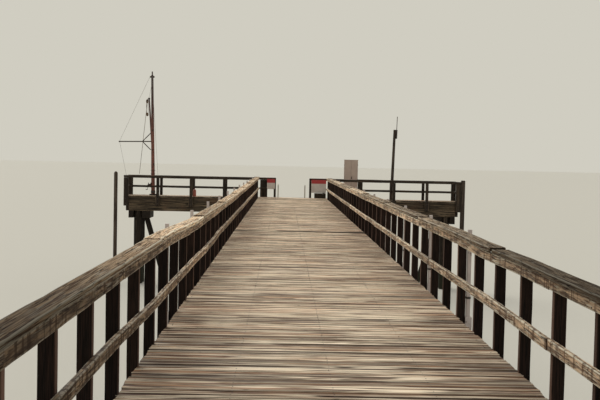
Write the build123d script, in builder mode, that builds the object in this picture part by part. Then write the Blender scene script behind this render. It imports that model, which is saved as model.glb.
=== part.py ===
import os
from math import acos, atan2, cos, degrees, hypot, radians, sin, sqrt, tan

from build123d import *

# A timber jetty: a railed walkway on pile bents runs out in equal bays to a narrow cross head,
# which carries its own rails, a small derrick, a locker, a light pole and two boards.
# Lengths are millimetres. +Y runs out along the walkway, +X is to the right of someone walking out,
# +Z is up, and the pile feet stand at zero.

# Walkway
bay_count = 6
bay_length = 6300.0
deck_width = 3120.0
deck_level = 4000.0
deck_thickness = 40.0
board_gap = 10.0

# Walkway timbers
stringer_width = 100.0
stringer_depth = 300.0
inner_stringer_count = 3
cap_width = 150.0
cap_depth = 300.0
cap_overhang = 120.0
cap_clip = 80.0
pile_diameter = 320.0
pile_spread = 2200.0
pile_dap = 25.0
end_bent_inset = 350.0
brace_thickness = 75.0
brace_depth = 200.0
brace_foot_level = 700.0
brace_head_drop = 150.0
brace_overrun = 180.0
seat_gap = 0.3

# Walkway rails, heights above the deck
post_across = 90.0
post_along = 50.0
post_spacing = 900.0
post_first = 600.0
post_drop = 300.0
rail_thickness = 40.0
face_rail_depth = 88.0
mid_rail_depth = 89.0
mid_rail_top = 470.0
cap_rail_top = 950.0
cap_rail_thickness = 42.0
cap_rail_inner_lip = 20.0
cap_rail_outer_lip = 15.0
cap_rail_chamfer = 6.0
rail_joint_gap = 4.0

# Slender uprights outside the rails, on every third post from the eighth
upright_width = 50.0
upright_thickness = 40.0
upright_rise = 25.0
upright_first_post = 7
upright_post_count = 3
packer_height = 60.0
packer_drop = 60.0
socket_depth = 180.0
socket_length = 110.0
socket_wall = 18.0

# Head platform
head_half_length = 7370.0
head_depth = 1100.0
head_deck_thickness = 50.0
fascia_thickness = 75.0
fascia_depth = 315.0
fascia_gap = 10.0
end_fascia_thickness = 120.0
splice_gap = 10.0
joist_width = 75.0
joist_count = 24
head_stringer_width = 150.0
head_stringer_spread = 320.0
head_cap_width = 220.0
head_cap_depth = 330.0
head_pile_diameter = 410.0
head_pile_dap = 10.0
head_pile_edge = 270.0
head_bent_inset = 420.0
head_bent_pair_count = 2
batter_diameter = 240.0
batter_angle = 16.5
batter_cap_width = 145.0

# Head rails, heights above the deck
head_post_width = 125.0
head_post_depth = 100.0
head_post_spacing = 1490.0
head_post_first = 3080.0
head_post_count = 3
corner_post_width = 210.0
head_post_drop = 470.0
post_block_width = 200.0
post_block_depth = 130.0
post_block_round = 40.0
head_rail_top = 900.0
head_rail_depth = 110.0
head_mid_top = 440.0
head_mid_depth = 70.0
head_mid_thickness = 50.0
end_rail_offset = 100.0
gangway_half_gap = 770.0
gangway_second_post = 1400.0
gangway_post_width = 100.0
gangway_wide_post = 335.0

# Round piles beside the head's landward corners
guard_pile_diameter = 200.0
guard_pile_rise = 970.0
guard_pile_bevel = 25.0
lone_pile_diameter = 165.0
lone_pile_offset = 7940.0
lone_pile_rise = 1060.0
lone_pile_point = 90.0
pile_tip_diameter = 36.0
pile_swell = 0.15

# Boards, locker and other fittings on the head
board_thickness = 20.0
left_board_width = 370.0
left_board_middle = 995.0
left_board_low = 380.0
right_board_width = 680.0
right_board_middle = 1210.0
right_board_low = 240.0
board_top = 840.0
chest_width = 500.0
chest_depth = 260.0
chest_height = 225.0
chest_lid = 22.0
chest_lid_lip = 12.0
chest_middle = 1270.0
locker_width = 640.0
locker_depth = 300.0
locker_height = 1800.0
locker_middle = 2665.0
locker_cap = 25.0
pole_offset = 4500.0
pole_setback = 350.0
pole_foot_diameter = 130.0
pole_top_diameter = 100.0
pole_height = 3200.0
pole_lean = 1.5
lamp_width = 60.0
lamp_length = 150.0
lamp_height = 400.0
rod_diameter = 30.0
rod_height = 600.0
hoop_height = 600.0
hoop_diameter = 42.0
hoop_reach = 330.0
hoop_bend = 110.0
hoop_left = 664.0
hoop_right = 567.0
bottle_diameter = 150.0
bottle_height = 360.0
bottle_neck = 40.0
bottle_offset = 4430.0

# Derrick, heights along the mast from the deck
mast_offset = 6350.0
mast_lean = 1.2
mast_height = 5600.0
mast_foot_diameter = 178.0
mast_top_diameter = 98.0
mast_spike_diameter = 56.0
mast_spike_height = 160.0
step_size = 300.0
step_height = 60.0
foot_collar_rise = 40.0
foot_collar_height = 110.0
head_band_drop = 240.0
head_band_ear = 98.0
head_band_ear_width = 34.0
band_height = 80.0
band_wall = 12.0
crosstree_level = 2440.0
crosstree_reach = 1543.0
crosstree_diameter = 50.0
strut_reach = 470.0
strut_rise = 380.0
strut_diameter = 40.0
stay_diameter = 10.0
winch_level = 460.0
winch_drum = 110.0
winch_length = 100.0
winch_cheek = 14.0
winch_cheek_size = 220.0
winch_tooth_count = 18
winch_tooth_depth = 16.0
winch_tooth_angle = 90.0
winch_spindle = 30.0
winch_spindle_reach = 30.0
crank_length = 200.0
crank_width = 34.0
crank_thickness = 12.0
grip_diameter = 28.0
grip_length = 80.0

# Boom, stowed almost upright behind the mast
swing_reach = 190.0
heel_level = 1200.0
jaw_rise = 60.0
lug_spacing = 150.0
lug_thickness = 16.0
lug_width = 70.0
heel_pin_diameter = 30.0
pin_clearance = 1.0
running_gap = 2.0
collar_diameter = 50.0
collar_height = 24.0
jaw_base = 14.0
cheek_thickness = 12.0
jaw_pin_diameter = 20.0
tongue_thickness = 30.0
tongue_width = 70.0
tongue_length = 75.0
boom_lean = 3.2
boom_length = 3220.0
boom_heel_diameter = 90.0
boom_head_diameter = 64.0
boom_cap_depth = 60.0
cap_lug_reach = 44.0
cap_lug_depth = 30.0
crane_thickness = 24.0
swivel_pin_diameter = 20.0
swivel_head_diameter = 40.0
swivel_head_height = 14.0
swivel_body_diameter = 44.0
swivel_body_height = 70.0
stay_eye_diameter = 24.0
block_length = 160.0
block_width = 100.0
block_thickness = 56.0
block_cheek = 14.0
block_crown = 22.0
sheave_diameter = 84.0
sheave_clearance = 2.0
sheave_groove = 5.0
sheave_pin_diameter = 20.0
rope_diameter = 18.0
tackle_drop = 595.0
fall_reach = 730.0
fall_end_level = 960.0

# Places worked out from the sizes above
walkway_length = bay_count * bay_length
half_deck = deck_width / 2
total_length = walkway_length + head_depth + head_post_depth
corner_reach = head_half_length + corner_post_width
left_reach = lone_pile_offset + lone_pile_diameter / 2
right_reach = corner_reach + seat_gap + guard_pile_diameter
origin_x = (left_reach - right_reach) / 2
origin_y = -total_length / 2

deck_underside = deck_level - deck_thickness
stringer_underside = deck_underside - stringer_depth
cap_underside = stringer_underside - cap_depth
post_outer = half_deck + post_across
bent_places = [bay_length * number for number in range(1, bay_count)]
bent_places = [end_bent_inset] + bent_places + [walkway_length - end_bent_inset]

head_near = walkway_length
head_far = walkway_length + head_depth
head_middle = walkway_length + head_depth / 2
head_underside = deck_level - head_deck_thickness
joist_underside = head_underside - fascia_depth
fascia_underside = joist_underside - fascia_gap - fascia_depth
head_cap_underside = fascia_underside - head_cap_depth
near_post_line = head_near - head_post_depth / 2
far_post_line = head_far + head_post_depth / 2


# Planes that are laid out from the walkway's middle line and its landward edge
def level(height):
    """A level plane at this height."""
    return Plane(origin=(origin_x, origin_y, height), x_dir=(1, 0, 0), z_dir=(0, 0, 1))


def section(place):
    """An upright plane across the walkway, facing the shore, this far from the landward edge."""
    return Plane(origin=(origin_x, origin_y + place, 0), x_dir=(1, 0, 0), z_dir=(0, -1, 0))


def side(place):
    """An upright plane along the walkway, this far to the right of its middle line."""
    return Plane(origin=(origin_x + place, origin_y, 0), x_dir=(0, 1, 0), z_dir=(1, 0, 0))


def leaning(place, setback, lean):
    """A deck-level plane whose upright direction leans to the right by some degrees."""
    tilt = radians(lean)
    foot = (origin_x + place, origin_y + setback, deck_level)
    return Plane(origin=foot, x_dir=(cos(tilt), 0, -sin(tilt)), z_dir=(sin(tilt), 0, cos(tilt)))


def rectangle_between(low_x, high_x, low_y, high_y, mode=Mode.ADD):
    """One rectangle in the current sketch, given by its edges."""
    with Locations(((low_x + high_x) / 2, (low_y + high_y) / 2)):
        Rectangle(high_x - low_x, high_y - low_y, mode=mode)


def timber(low, high):
    """One squared timber in the current part, given by its lowest and highest corners."""
    with BuildSketch(level(low[2])) as outline:
        rectangle_between(low[0], high[0], low[1], high[1])
    extrude(outline.sketch, amount=high[2] - low[2])


def rod_between(start, end, diameter, start_plane):
    """One round bar in the current part between two points of a plane's own frame."""
    first = start_plane.from_local_coords(Vector(*start))
    last = start_plane.from_local_coords(Vector(*end))
    run = last - first
    with BuildSketch(Plane(origin=first, z_dir=run)) as outline:
        Circle(diameter / 2)
    extrude(outline.sketch, amount=run.length)


pieces = {}

# Walkway deck, one slab a bay, parted by the gap that parts its boards
for bay in range(bay_count):
    slab_start = bay * bay_length + (board_gap / 2 if bay > 0 else 0)
    slab_end = (bay + 1) * bay_length - (board_gap / 2 if bay < bay_count - 1 else 0)
    with BuildPart() as walkway_deck:
        timber((-half_deck, slab_start, deck_underside), (half_deck, slab_end, deck_level))
    pieces[f"walkway_deck_{bay + 1}"] = walkway_deck


def stringer_lines(lines):
    """Stringers under the deck on these lines, butted over the bents."""
    with BuildSketch(level(stringer_underside)) as outline:
        for bay in range(bay_count):
            start = bay * bay_length + (splice_gap / 2 if bay > 0 else 0)
            end = (bay + 1) * bay_length - (splice_gap / 2 if bay < bay_count - 1 else 0)
            for line in lines:
                rectangle_between(line - stringer_width / 2, line + stringer_width / 2, start, end)
    extrude(outline.sketch, amount=stringer_depth)


outer_line = half_deck - stringer_width / 2
inner_step = 2 * outer_line / (inner_stringer_count + 1)
with BuildPart() as outer_stringers:
    stringer_lines([-outer_line, outer_line])
pieces["outer_stringers"] = outer_stringers

with BuildPart() as inner_stringers:
    stringer_lines([-outer_line + inner_step * (number + 1) for number in range(inner_stringer_count)])
pieces["inner_stringers"] = inner_stringers

# Pile bents: round piles, flatted at the head for a pair of cap timbers that sit on the shoulders
pile_radius = pile_diameter / 2
cap_face = pile_radius - pile_dap
with BuildPart() as walkway_piles:
    with BuildSketch(level(0)):
        for place in bent_places:
            with Locations((-pile_spread / 2, place), (pile_spread / 2, place)):
                Circle(pile_radius)
    extrude(amount=stringer_underside)
    with BuildSketch(level(cap_underside)):
        for place in bent_places:
            for turn in (-1, 1):
                with Locations((0, place + turn * (cap_face + pile_dap))):
                    Rectangle(pile_spread + 2 * pile_diameter, 2 * pile_dap)
    extrude(amount=cap_depth, mode=Mode.SUBTRACT)
pieces["walkway_piles"] = walkway_piles

cap_half = half_deck + cap_overhang
with BuildPart() as walkway_caps:
    for place in bent_places:
        for near_face in (place - cap_face - cap_width, place + cap_face):
            with BuildSketch(section(near_face)):
                with BuildLine():
                    Polyline(
                        (-cap_half, stringer_underside),
                        (cap_half, stringer_underside),
                        (cap_half, cap_underside + cap_clip),
                        (cap_half - cap_clip, cap_underside),
                        (cap_clip - cap_half, cap_underside),
                        (-cap_half, cap_underside + cap_clip),
                        close=True,
                    )
                make_face()
            extrude(amount=-cap_width)
pieces["walkway_caps"] = walkway_caps

# Crossed braces, one on each face of a bent
brace_head_level = cap_underside - brace_head_drop
brace_run = pile_spread + 2 * brace_overrun
brace_rise = brace_head_level - brace_foot_level
brace_angle = degrees(atan2(brace_rise, brace_run))
brace_middle = (brace_head_level + brace_foot_level) / 2
with BuildPart() as walkway_braces:
    for place in bent_places:
        for turn in (-1, 1):
            if turn > 0:
                near_face = place + pile_radius + seat_gap
            else:
                near_face = place - pile_radius - seat_gap - brace_thickness
            with BuildSketch(section(near_face)):
                with Locations(Location((0, brace_middle, 0), turn * brace_angle)):
                    Rectangle(hypot(brace_run, brace_rise), brace_depth)
            extrude(amount=-brace_thickness)
pieces["walkway_braces"] = walkway_braces

# Walkway rails
posts_a_bay = round(bay_length / post_spacing)
post_places = [post_first + post_spacing * number for number in range(bay_count * posts_a_bay)]
cap_rail_underside = deck_level + cap_rail_top - cap_rail_thickness
rail_joints = [0.0] + [post_first + bay_length * number for number in range(1, bay_count)]
rail_joints = rail_joints + [walkway_length]


def board_runs():
    """The start and end of each rail board, parted by a small gap over a post."""
    runs = []
    for start, end in zip(rail_joints[:-1], rail_joints[1:]):
        first = start + (rail_joint_gap / 2 if start > 0 else 0)
        last = end - (rail_joint_gap / 2 if end < walkway_length else 0)
        runs.append((first, last))
    return runs


for hand, turn in (("left", -1), ("right", 1)):
    post_line = turn * (half_deck + post_across / 2)
    rail_line = turn * (half_deck - rail_thickness / 2)
    cap_inner = half_deck - rail_thickness - cap_rail_inner_lip
    cap_outer = post_outer + cap_rail_outer_lip
    cap_line = turn * (cap_inner + cap_outer) / 2

    with BuildPart() as rail_posts:
        with BuildSketch(level(deck_level - post_drop)):
            with Locations(*[(post_line, place) for place in post_places]):
                Rectangle(post_across, post_along)
        extrude(amount=cap_rail_underside - deck_level + post_drop)
    pieces[f"{hand}_rail_posts"] = rail_posts

    with BuildPart() as face_rails:
        for first, last in board_runs():
            with BuildSketch(section(first)):
                with Locations((rail_line, cap_rail_underside - face_rail_depth / 2)):
                    Rectangle(rail_thickness, face_rail_depth)
            extrude(amount=first - last)
    pieces[f"{hand}_face_rails"] = face_rails

    with BuildPart() as mid_rails:
        for first, last in board_runs():
            with BuildSketch(section(first)):
                with Locations((rail_line, deck_level + mid_rail_top - mid_rail_depth / 2)):
                    Rectangle(rail_thickness, mid_rail_depth)
            extrude(amount=first - last)
    pieces[f"{hand}_mid_rails"] = mid_rails

    with BuildPart() as cap_rails:
        for first, last in board_runs():
            with BuildSketch(section(first)) as cap_profile:
                with Locations((cap_line, cap_rail_underside + cap_rail_thickness / 2)):
                    Rectangle(cap_outer - cap_inner, cap_rail_thickness)
                chamfer(cap_profile.vertices().group_by(Axis.Z)[-1], cap_rail_chamfer)
            extrude(amount=first - last)
    pieces[f"{hand}_cap_rails"] = cap_rails

# Slender uprights, each standing in a socket on its post's foot, with a packer under the cap rail's edge
upright_inner = post_outer + cap_rail_outer_lip
upright_head = deck_level + cap_rail_top + upright_rise
upright_line = upright_inner + upright_thickness / 2
socket_outer = upright_inner + upright_thickness + socket_wall
socket_foot = deck_level - socket_depth
packer_low = cap_rail_underside - packer_drop - packer_height
upright_places = post_places[upright_first_post::upright_post_count]


def upright_slice(line, thickness, length, low, high):
    """The same slab on every upright's place and both hands, centred on a line and this long."""
    for turn in (-1, 1):
        with BuildSketch(side(turn * line)) as outline:
            for place in upright_places:
                rectangle_between(place - length / 2, place + length / 2, low, high)
        extrude(outline.sketch, amount=thickness / 2, both=True)


with BuildPart() as rail_uprights:
    upright_slice(upright_line, upright_thickness, upright_width, socket_foot, upright_head)
    upright_slice((post_outer + upright_inner) / 2, cap_rail_outer_lip, upright_width,
                  packer_low, packer_low + packer_height)
    upright_slice((post_outer + socket_outer) / 2, socket_outer - post_outer, socket_length,
                  socket_foot, deck_level)
pieces["rail_uprights"] = rail_uprights

# Head platform deck, fascias, joists and stringers
with BuildPart() as head_deck:
    deck_end = head_half_length + end_fascia_thickness
    timber((-deck_end, head_near, head_underside), (deck_end, head_far, deck_level))
pieces["head_deck"] = head_deck

fascia_levels = (joist_underside, fascia_underside)
for name, near_face in (("near_fascia", head_near), ("far_fascia", head_far - fascia_thickness)):
    with BuildPart() as fascia:
        for low in fascia_levels:
            for start, end in ((-head_half_length, -splice_gap / 2), (splice_gap / 2, head_half_length)):
                timber((start, near_face, low), (end, near_face + fascia_thickness, low + fascia_depth))
    pieces[name] = fascia

with BuildPart() as end_fascias:
    for start in (-head_half_length - end_fascia_thickness, head_half_length):
        for low in fascia_levels:
            timber((start, head_near, low), (start + end_fascia_thickness, head_far, low + fascia_depth))
pieces["end_fascias"] = end_fascias

with BuildPart() as head_joists:
    joist_step = (2 * head_half_length - joist_width) / (joist_count - 1)
    with BuildSketch(level(joist_underside)):
        with Locations((0, head_middle)):
            with GridLocations(joist_step, 0, joist_count, 1):
                Rectangle(joist_width, head_depth - 2 * fascia_thickness)
    extrude(amount=fascia_depth)
pieces["head_joists"] = head_joists

with BuildPart() as head_stringers:
    for line in (head_middle - head_stringer_spread / 2, head_middle + head_stringer_spread / 2):
        for start, end in ((-head_half_length, -splice_gap / 2), (splice_gap / 2, head_half_length)):
            timber(
                (start, line - head_stringer_width / 2, fascia_underside),
                (end, line + head_stringer_width / 2, joist_underside),
            )
pieces["head_stringers"] = head_stringers

# Head bents: paired piles with a cap timber on each side, and a raking pile at each outer bent
outer_bent_line = head_half_length - head_bent_inset
head_bent_spacing = outer_bent_line / head_bent_pair_count
head_bent_numbers = range(-head_bent_pair_count, head_bent_pair_count + 1)
head_bent_lines = [head_bent_spacing * number for number in head_bent_numbers]
head_pile_radius = head_pile_diameter / 2
head_cap_face = head_pile_radius - head_pile_dap
head_pile_rows = (head_near + head_pile_edge, head_far - head_pile_edge)
with BuildPart() as head_piles:
    with BuildSketch(level(0)):
        for line in head_bent_lines:
            with Locations(*[(line, row) for row in head_pile_rows]):
                Circle(head_pile_radius)
    extrude(amount=fascia_underside)
    with BuildSketch(level(head_cap_underside)):
        for line in head_bent_lines:
            for turn in (-1, 1):
                with Locations((line + turn * head_pile_radius, head_middle)):
                    Rectangle(2 * head_pile_dap, head_depth)
    extrude(amount=head_cap_depth, mode=Mode.SUBTRACT)
pieces["head_piles"] = head_piles

with BuildPart() as head_caps:
    for line in head_bent_lines:
        for start in (line - head_cap_face - head_cap_width, line + head_cap_face):
            timber((start, head_near, head_cap_underside),
                   (start + head_cap_width, head_far, fascia_underside))
    batter_cap_outer = outer_bent_line - head_cap_face - head_cap_width - seat_gap
    for edge in (-batter_cap_outer, batter_cap_outer - batter_cap_width):
        timber((edge, head_near, head_cap_underside),
               (edge + batter_cap_width, head_far, fascia_underside))
pieces["head_caps"] = head_caps

# A raking pile's axis meets the caps' underside where its side just clears the upright pile
batter_slope = tan(radians(batter_angle))
batter_half_width = batter_diameter / 2 / cos(radians(batter_angle))
batter_line = outer_bent_line - head_pile_radius - batter_half_width - seat_gap
with BuildPart() as batter_piles:
    for turn in (-1, 1):
        head_line = batter_line + batter_diameter * batter_slope
        foot_line = batter_line - (head_cap_underside + batter_diameter) * batter_slope
        head = (turn * head_line, head_middle, head_cap_underside + batter_diameter)
        foot = (turn * foot_line, head_middle, -batter_diameter)
        rod_between(head, foot, batter_diameter, level(0))
    split(bisect_by=level(0), keep=Keep.TOP)
    split(bisect_by=level(head_cap_underside), keep=Keep.BOTTOM)
pieces["batter_piles"] = batter_piles

# Head rails
head_rail_underside = deck_level + head_rail_top - head_rail_depth
post_foot_level = deck_level - head_post_drop
head_post_places = [head_post_first + head_post_spacing * number for number in range(head_post_count)]
corner_place = head_half_length + corner_post_width / 2
with BuildPart() as head_rail_posts:
    with BuildSketch(level(post_foot_level)):
        for line in (near_post_line, far_post_line):
            with Locations(*[(turn * place, line) for turn in (-1, 1) for place in head_post_places]):
                Rectangle(head_post_width, head_post_depth)
            with Locations((-corner_place, line), (corner_place, line)):
                Rectangle(corner_post_width, head_post_depth)
        gap_post = gangway_half_gap + gangway_post_width / 2
        with Locations((-gap_post, far_post_line), (gap_post, far_post_line)):
            Rectangle(gangway_post_width, head_post_depth)
        second_post_end = gangway_second_post + gangway_post_width
        rectangle_between(gangway_second_post, second_post_end, head_far, head_far + head_post_depth)
        rectangle_between(-second_post_end, gangway_wide_post - second_post_end,
                          head_far, head_far + head_post_depth)
    extrude(amount=head_rail_underside - post_foot_level)
    with BuildSketch(level(deck_level - post_drop)):
        for turn in (-1, 1):
            with Locations((turn * (half_deck + post_across / 2), near_post_line)):
                Rectangle(post_across, head_post_depth)
    extrude(amount=cap_rail_underside - deck_level + post_drop)
    # A heavier block on the foot of each landward post, from the deck down over the fascia
    with BuildSketch(level(post_foot_level)) as post_blocks:
        with Locations(*[(turn * place, head_near - post_block_depth / 2)
                         for turn in (-1, 1) for place in head_post_places]):
            Rectangle(post_block_width, post_block_depth)
        chamfer(post_blocks.vertices().group_by(Axis.Y)[0], post_block_round)
    extrude(amount=head_post_drop)
pieces["head_rail_posts"] = head_rail_posts

with BuildPart() as head_top_rails:
    with BuildSketch(level(head_rail_underside)):
        for turn in (-1, 1):
            near_ends = sorted((turn * post_outer, turn * corner_reach))
            far_ends = sorted((turn * gangway_half_gap, turn * corner_reach))
            rectangle_between(*near_ends, head_near - head_post_depth, head_near)
            rectangle_between(*far_ends, head_far, head_far + head_post_depth)
    extrude(amount=head_rail_depth)
pieces["head_top_rails"] = head_top_rails

end_rail_line = head_half_length + end_rail_offset
with BuildPart() as head_end_rails:
    for turn in (-1, 1):
        for top, depth in ((head_rail_top, head_rail_depth), (head_mid_top, head_mid_depth)):
            with BuildSketch(level(deck_level + top - depth)):
                with Locations((turn * end_rail_line, head_middle)):
                    Rectangle(head_mid_thickness, head_depth)
            extrude(amount=depth)
pieces["head_end_rails"] = head_end_rails

mid_rail_end = end_rail_line - head_mid_thickness / 2
with BuildPart() as head_mid_rails:
    with BuildSketch(level(deck_level + head_mid_top - head_mid_depth)):
        for turn in (-1, 1):
            near_ends = sorted((turn * half_deck, turn * mid_rail_end))
            far_ends = sorted((turn * gangway_half_gap, turn * mid_rail_end))
            rectangle_between(*near_ends, head_near, head_near + head_mid_thickness)
            rectangle_between(*far_ends, head_far - head_mid_thickness, head_far)
    extrude(amount=head_mid_depth)
pieces["head_mid_rails"] = head_mid_rails


# Round piles: a blunt one against the right corner and a pointed one that stands by itself
def round_pile(place, diameter, rise, point, tip):
    """A round pile up to this rise above the deck, narrowing over its point to its tip's diameter."""
    top = deck_level + rise
    radius = diameter / 2
    foot = (origin_x + place, origin_y + near_post_line, 0)
    with BuildSketch(Plane(origin=foot, x_dir=(1, 0, 0), z_dir=(0, -1, 0))) as outline:
        with BuildLine():
            Line((0, 0), (radius, 0))
            Line((radius, 0), (radius, top - point))
            SagittaArc((radius, top - point), (tip / 2, top), -pile_swell * point)
            Line((tip / 2, top), (0, top))
            Line((0, top), (0, 0))
        make_face()
    revolve(outline.sketch, axis=Axis(foot, (0, 0, 1)))


with BuildPart() as guard_piles:
    round_pile(corner_reach + seat_gap + guard_pile_diameter / 2, guard_pile_diameter, guard_pile_rise,
               guard_pile_bevel, guard_pile_diameter - 2 * guard_pile_bevel)
    round_pile(-lone_pile_offset, lone_pile_diameter, lone_pile_rise, lone_pile_point, pile_tip_diameter)
pieces["guard_piles"] = guard_piles

# Plain boards on the far rail beside the gangway gap, and the chest under the right one
board_face = head_far - head_mid_thickness
with BuildPart() as gangway_boards:
    for middle, width, low in (
        (-left_board_middle, left_board_width, left_board_low),
        (right_board_middle, right_board_width, right_board_low),
    ):
        timber(
            (middle - width / 2, board_face - board_thickness, deck_level + low),
            (middle + width / 2, board_face, deck_level + board_top),
        )
pieces["gangway_boards"] = gangway_boards

with BuildPart() as chest:
    with BuildSketch(level(deck_level)):
        with Locations((chest_middle, board_face - board_thickness - chest_depth / 2)):
            Rectangle(chest_width, chest_depth)
    extrude(amount=chest_height - chest_lid)
    with BuildSketch(level(deck_level + chest_height - chest_lid)):
        with Locations((chest_middle, board_face - board_thickness - chest_depth / 2 - chest_lid_lip / 2)):
            Rectangle(chest_width + 2 * chest_lid_lip, chest_depth + chest_lid_lip)
    extrude(amount=chest_lid)
pieces["chest"] = chest

with BuildPart() as locker:
    locker_line = board_face - board_thickness - locker_depth / 2
    with BuildSketch(level(deck_level)):
        with Locations((locker_middle, locker_line)):
            Rectangle(locker_width - locker_cap, locker_depth - locker_cap)
    extrude(amount=locker_height - locker_cap)
    with BuildSketch(level(deck_level + locker_height - locker_cap)):
        with Locations((locker_middle, locker_line)):
            Rectangle(locker_width, locker_depth)
    extrude(amount=locker_cap)
pieces["locker"] = locker

# Light pole, leaning a little to the right, with its box and its thin rod
pole_plane = leaning(pole_offset, head_near + pole_setback, pole_lean)
with BuildPart() as light_pole:
    with BuildSketch(pole_plane.offset(-pole_foot_diameter)):
        Circle(pole_foot_diameter / 2)
    with BuildSketch(pole_plane.offset(pole_height)):
        Circle(pole_top_diameter / 2)
    loft()
    split(bisect_by=level(deck_level), keep=Keep.TOP)
pieces["light_pole"] = light_pole

lamp_foot = pole_height - lamp_height
pole_taper = (pole_foot_diameter - pole_top_diameter) / (pole_height + pole_foot_diameter)
lamp_start = (pole_top_diameter + pole_taper * lamp_height) / 2 + seat_gap
with BuildPart() as pole_lamp:
    with BuildSketch(pole_plane.offset(lamp_foot)):
        with Locations((lamp_start + lamp_width / 2, 0)):
            Rectangle(lamp_width, lamp_length)
    extrude(amount=lamp_height)
    with BuildSketch(pole_plane.offset(pole_height)):
        with Locations((lamp_start + lamp_width / 2, 0)):
            Circle(rod_diameter / 2)
    extrude(amount=rod_height)
pieces["pole_lamp"] = pole_lamp

# Hand hoops of bent tube that flank the gangway gap
hoop_far = head_far - hoop_diameter / 2
hoop_near = hoop_far - hoop_reach
hoop_top = deck_level + hoop_height - hoop_diameter / 2
with BuildPart() as gangway_hoops:
    for place in (-hoop_left, hoop_right):
        with BuildLine(side(place)) as hoop_line:
            FilletPolyline(
                (hoop_near, deck_level),
                (hoop_near, hoop_top),
                (hoop_far, hoop_top),
                (hoop_far, deck_level),
                radius=hoop_bend,
            )
        with BuildSketch(Plane(origin=hoop_line.line @ 0, z_dir=hoop_line.line % 0)):
            Circle(hoop_diameter / 2)
        sweep()
pieces["gangway_hoops"] = gangway_hoops

# Fire bottle standing by a landward post
bottle_radius = bottle_diameter / 2
bottle_shoulder = bottle_height - bottle_neck - bottle_radius
neck_angle = acos(bottle_neck / bottle_diameter)
neck_root = bottle_shoulder + bottle_radius * sin(neck_angle)
bottle_line = head_near + head_mid_thickness + bottle_radius + board_gap
bottle_foot = (origin_x - bottle_offset, origin_y + bottle_line, deck_level)
with BuildPart() as fire_bottle:
    with BuildSketch(Plane(origin=bottle_foot, x_dir=(1, 0, 0), z_dir=(0, -1, 0))):
        with BuildLine():
            Line((0, 0), (bottle_radius, 0))
            Line((bottle_radius, 0), (bottle_radius, bottle_shoulder))
            CenterArc((0, bottle_shoulder), bottle_radius, start_angle=0, arc_size=degrees(neck_angle))
            Line((bottle_neck / 2, neck_root), (bottle_neck / 2, bottle_height))
            Line((bottle_neck / 2, bottle_height), (0, bottle_height))
            Line((0, bottle_height), (0, 0))
        make_face()
    revolve(axis=Axis(bottle_foot, (0, 0, 1)))
pieces["fire_bottle"] = fire_bottle

# Derrick mast on its step; heights run along the mast
mast_plane = leaning(-mast_offset, head_middle, -mast_lean)
mast_shoulder = mast_height - mast_spike_height
mast_taper = (mast_foot_diameter - mast_top_diameter) / mast_shoulder
head_band_level = mast_height - head_band_drop


def mast_radius(height):
    """The mast's radius at this height along it."""
    return (mast_foot_diameter - mast_taper * height) / 2


with BuildPart() as mast_step:
    with BuildSketch(level(deck_level)):
        with Locations((-mast_offset, head_middle)):
            Rectangle(step_size, step_size)
    extrude(amount=step_height)
pieces["mast_step"] = mast_step

with BuildPart() as mast:
    with BuildSketch(mast_plane):
        Circle(mast_radius(0))
    with BuildSketch(mast_plane.offset(mast_shoulder)):
        Circle(mast_radius(mast_shoulder))
    loft()
    with BuildSketch(mast_plane.offset(mast_shoulder)):
        Circle(mast_spike_diameter / 2)
    extrude(amount=mast_spike_height)
    split(bisect_by=level(deck_level + step_height), keep=Keep.TOP)
pieces["mast"] = mast

# Bands round the mast: the head band with its ears and crane arm, the foot collar,
# and the pair of lugs for the boom's heel
crane_underside = head_band_level - crane_thickness / 2


def band(height, depth, wall, ear_reach=0):
    """A ring round the mast from this height up, clear of it by the seat gap, with an ear on each side."""
    bore = mast_radius(height) + seat_gap
    with BuildSketch(mast_plane.offset(height)) as outline:
        Circle(bore + wall)
        if ear_reach > 0:
            Rectangle(2 * ear_reach, head_band_ear_width)
        Circle(bore, mode=Mode.SUBTRACT)
    extrude(outline.sketch, amount=depth)


def arm(height, thickness, width, hole):
    """A flat arm from a band to the boom's swinging line, with a round hole at its end."""
    start = mast_radius(height) + band_wall / 2
    with BuildSketch(mast_plane.offset(height)) as outline:
        with Locations((0, (start + swing_reach) / 2)):
            Rectangle(width, swing_reach - start)
        with Locations((0, swing_reach)):
            Circle(width / 2)
            Circle(hole / 2, mode=Mode.SUBTRACT)
    extrude(outline.sketch, amount=thickness)


upper_lug = heel_level - jaw_rise - lug_thickness
lower_lug = upper_lug - lug_spacing - lug_thickness
collar_low = step_height + foot_collar_rise
with BuildPart() as mast_bands:
    band(collar_low, foot_collar_height, band_wall)
    band(head_band_level - band_height / 2, band_height, band_wall, head_band_ear)
    arm(crane_underside, crane_thickness, swivel_head_diameter + 2 * band_wall,
        swivel_pin_diameter + 2 * pin_clearance)
    for low in (lower_lug, upper_lug):
        band(low, lug_thickness, 2 * band_wall)
        arm(low, lug_thickness, lug_width, heel_pin_diameter + 2 * pin_clearance)
pieces["mast_bands"] = mast_bands

# Crosstree to the left of the mast with its two struts
tree_start = mast_radius(crosstree_level) + seat_gap
with BuildPart() as crosstree:
    rod_between((-tree_start, 0, crosstree_level), (-crosstree_reach, 0, crosstree_level),
                crosstree_diameter, mast_plane)
    for rise in (strut_rise, -strut_rise):
        strut_end = crosstree_level + rise
        strut_seat = mast_radius(strut_end) + strut_diameter / 2
        rod_between((-strut_reach, 0, crosstree_level), (-strut_seat, 0, strut_end),
                    strut_diameter, mast_plane)
pieces["crosstree"] = crosstree


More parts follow.
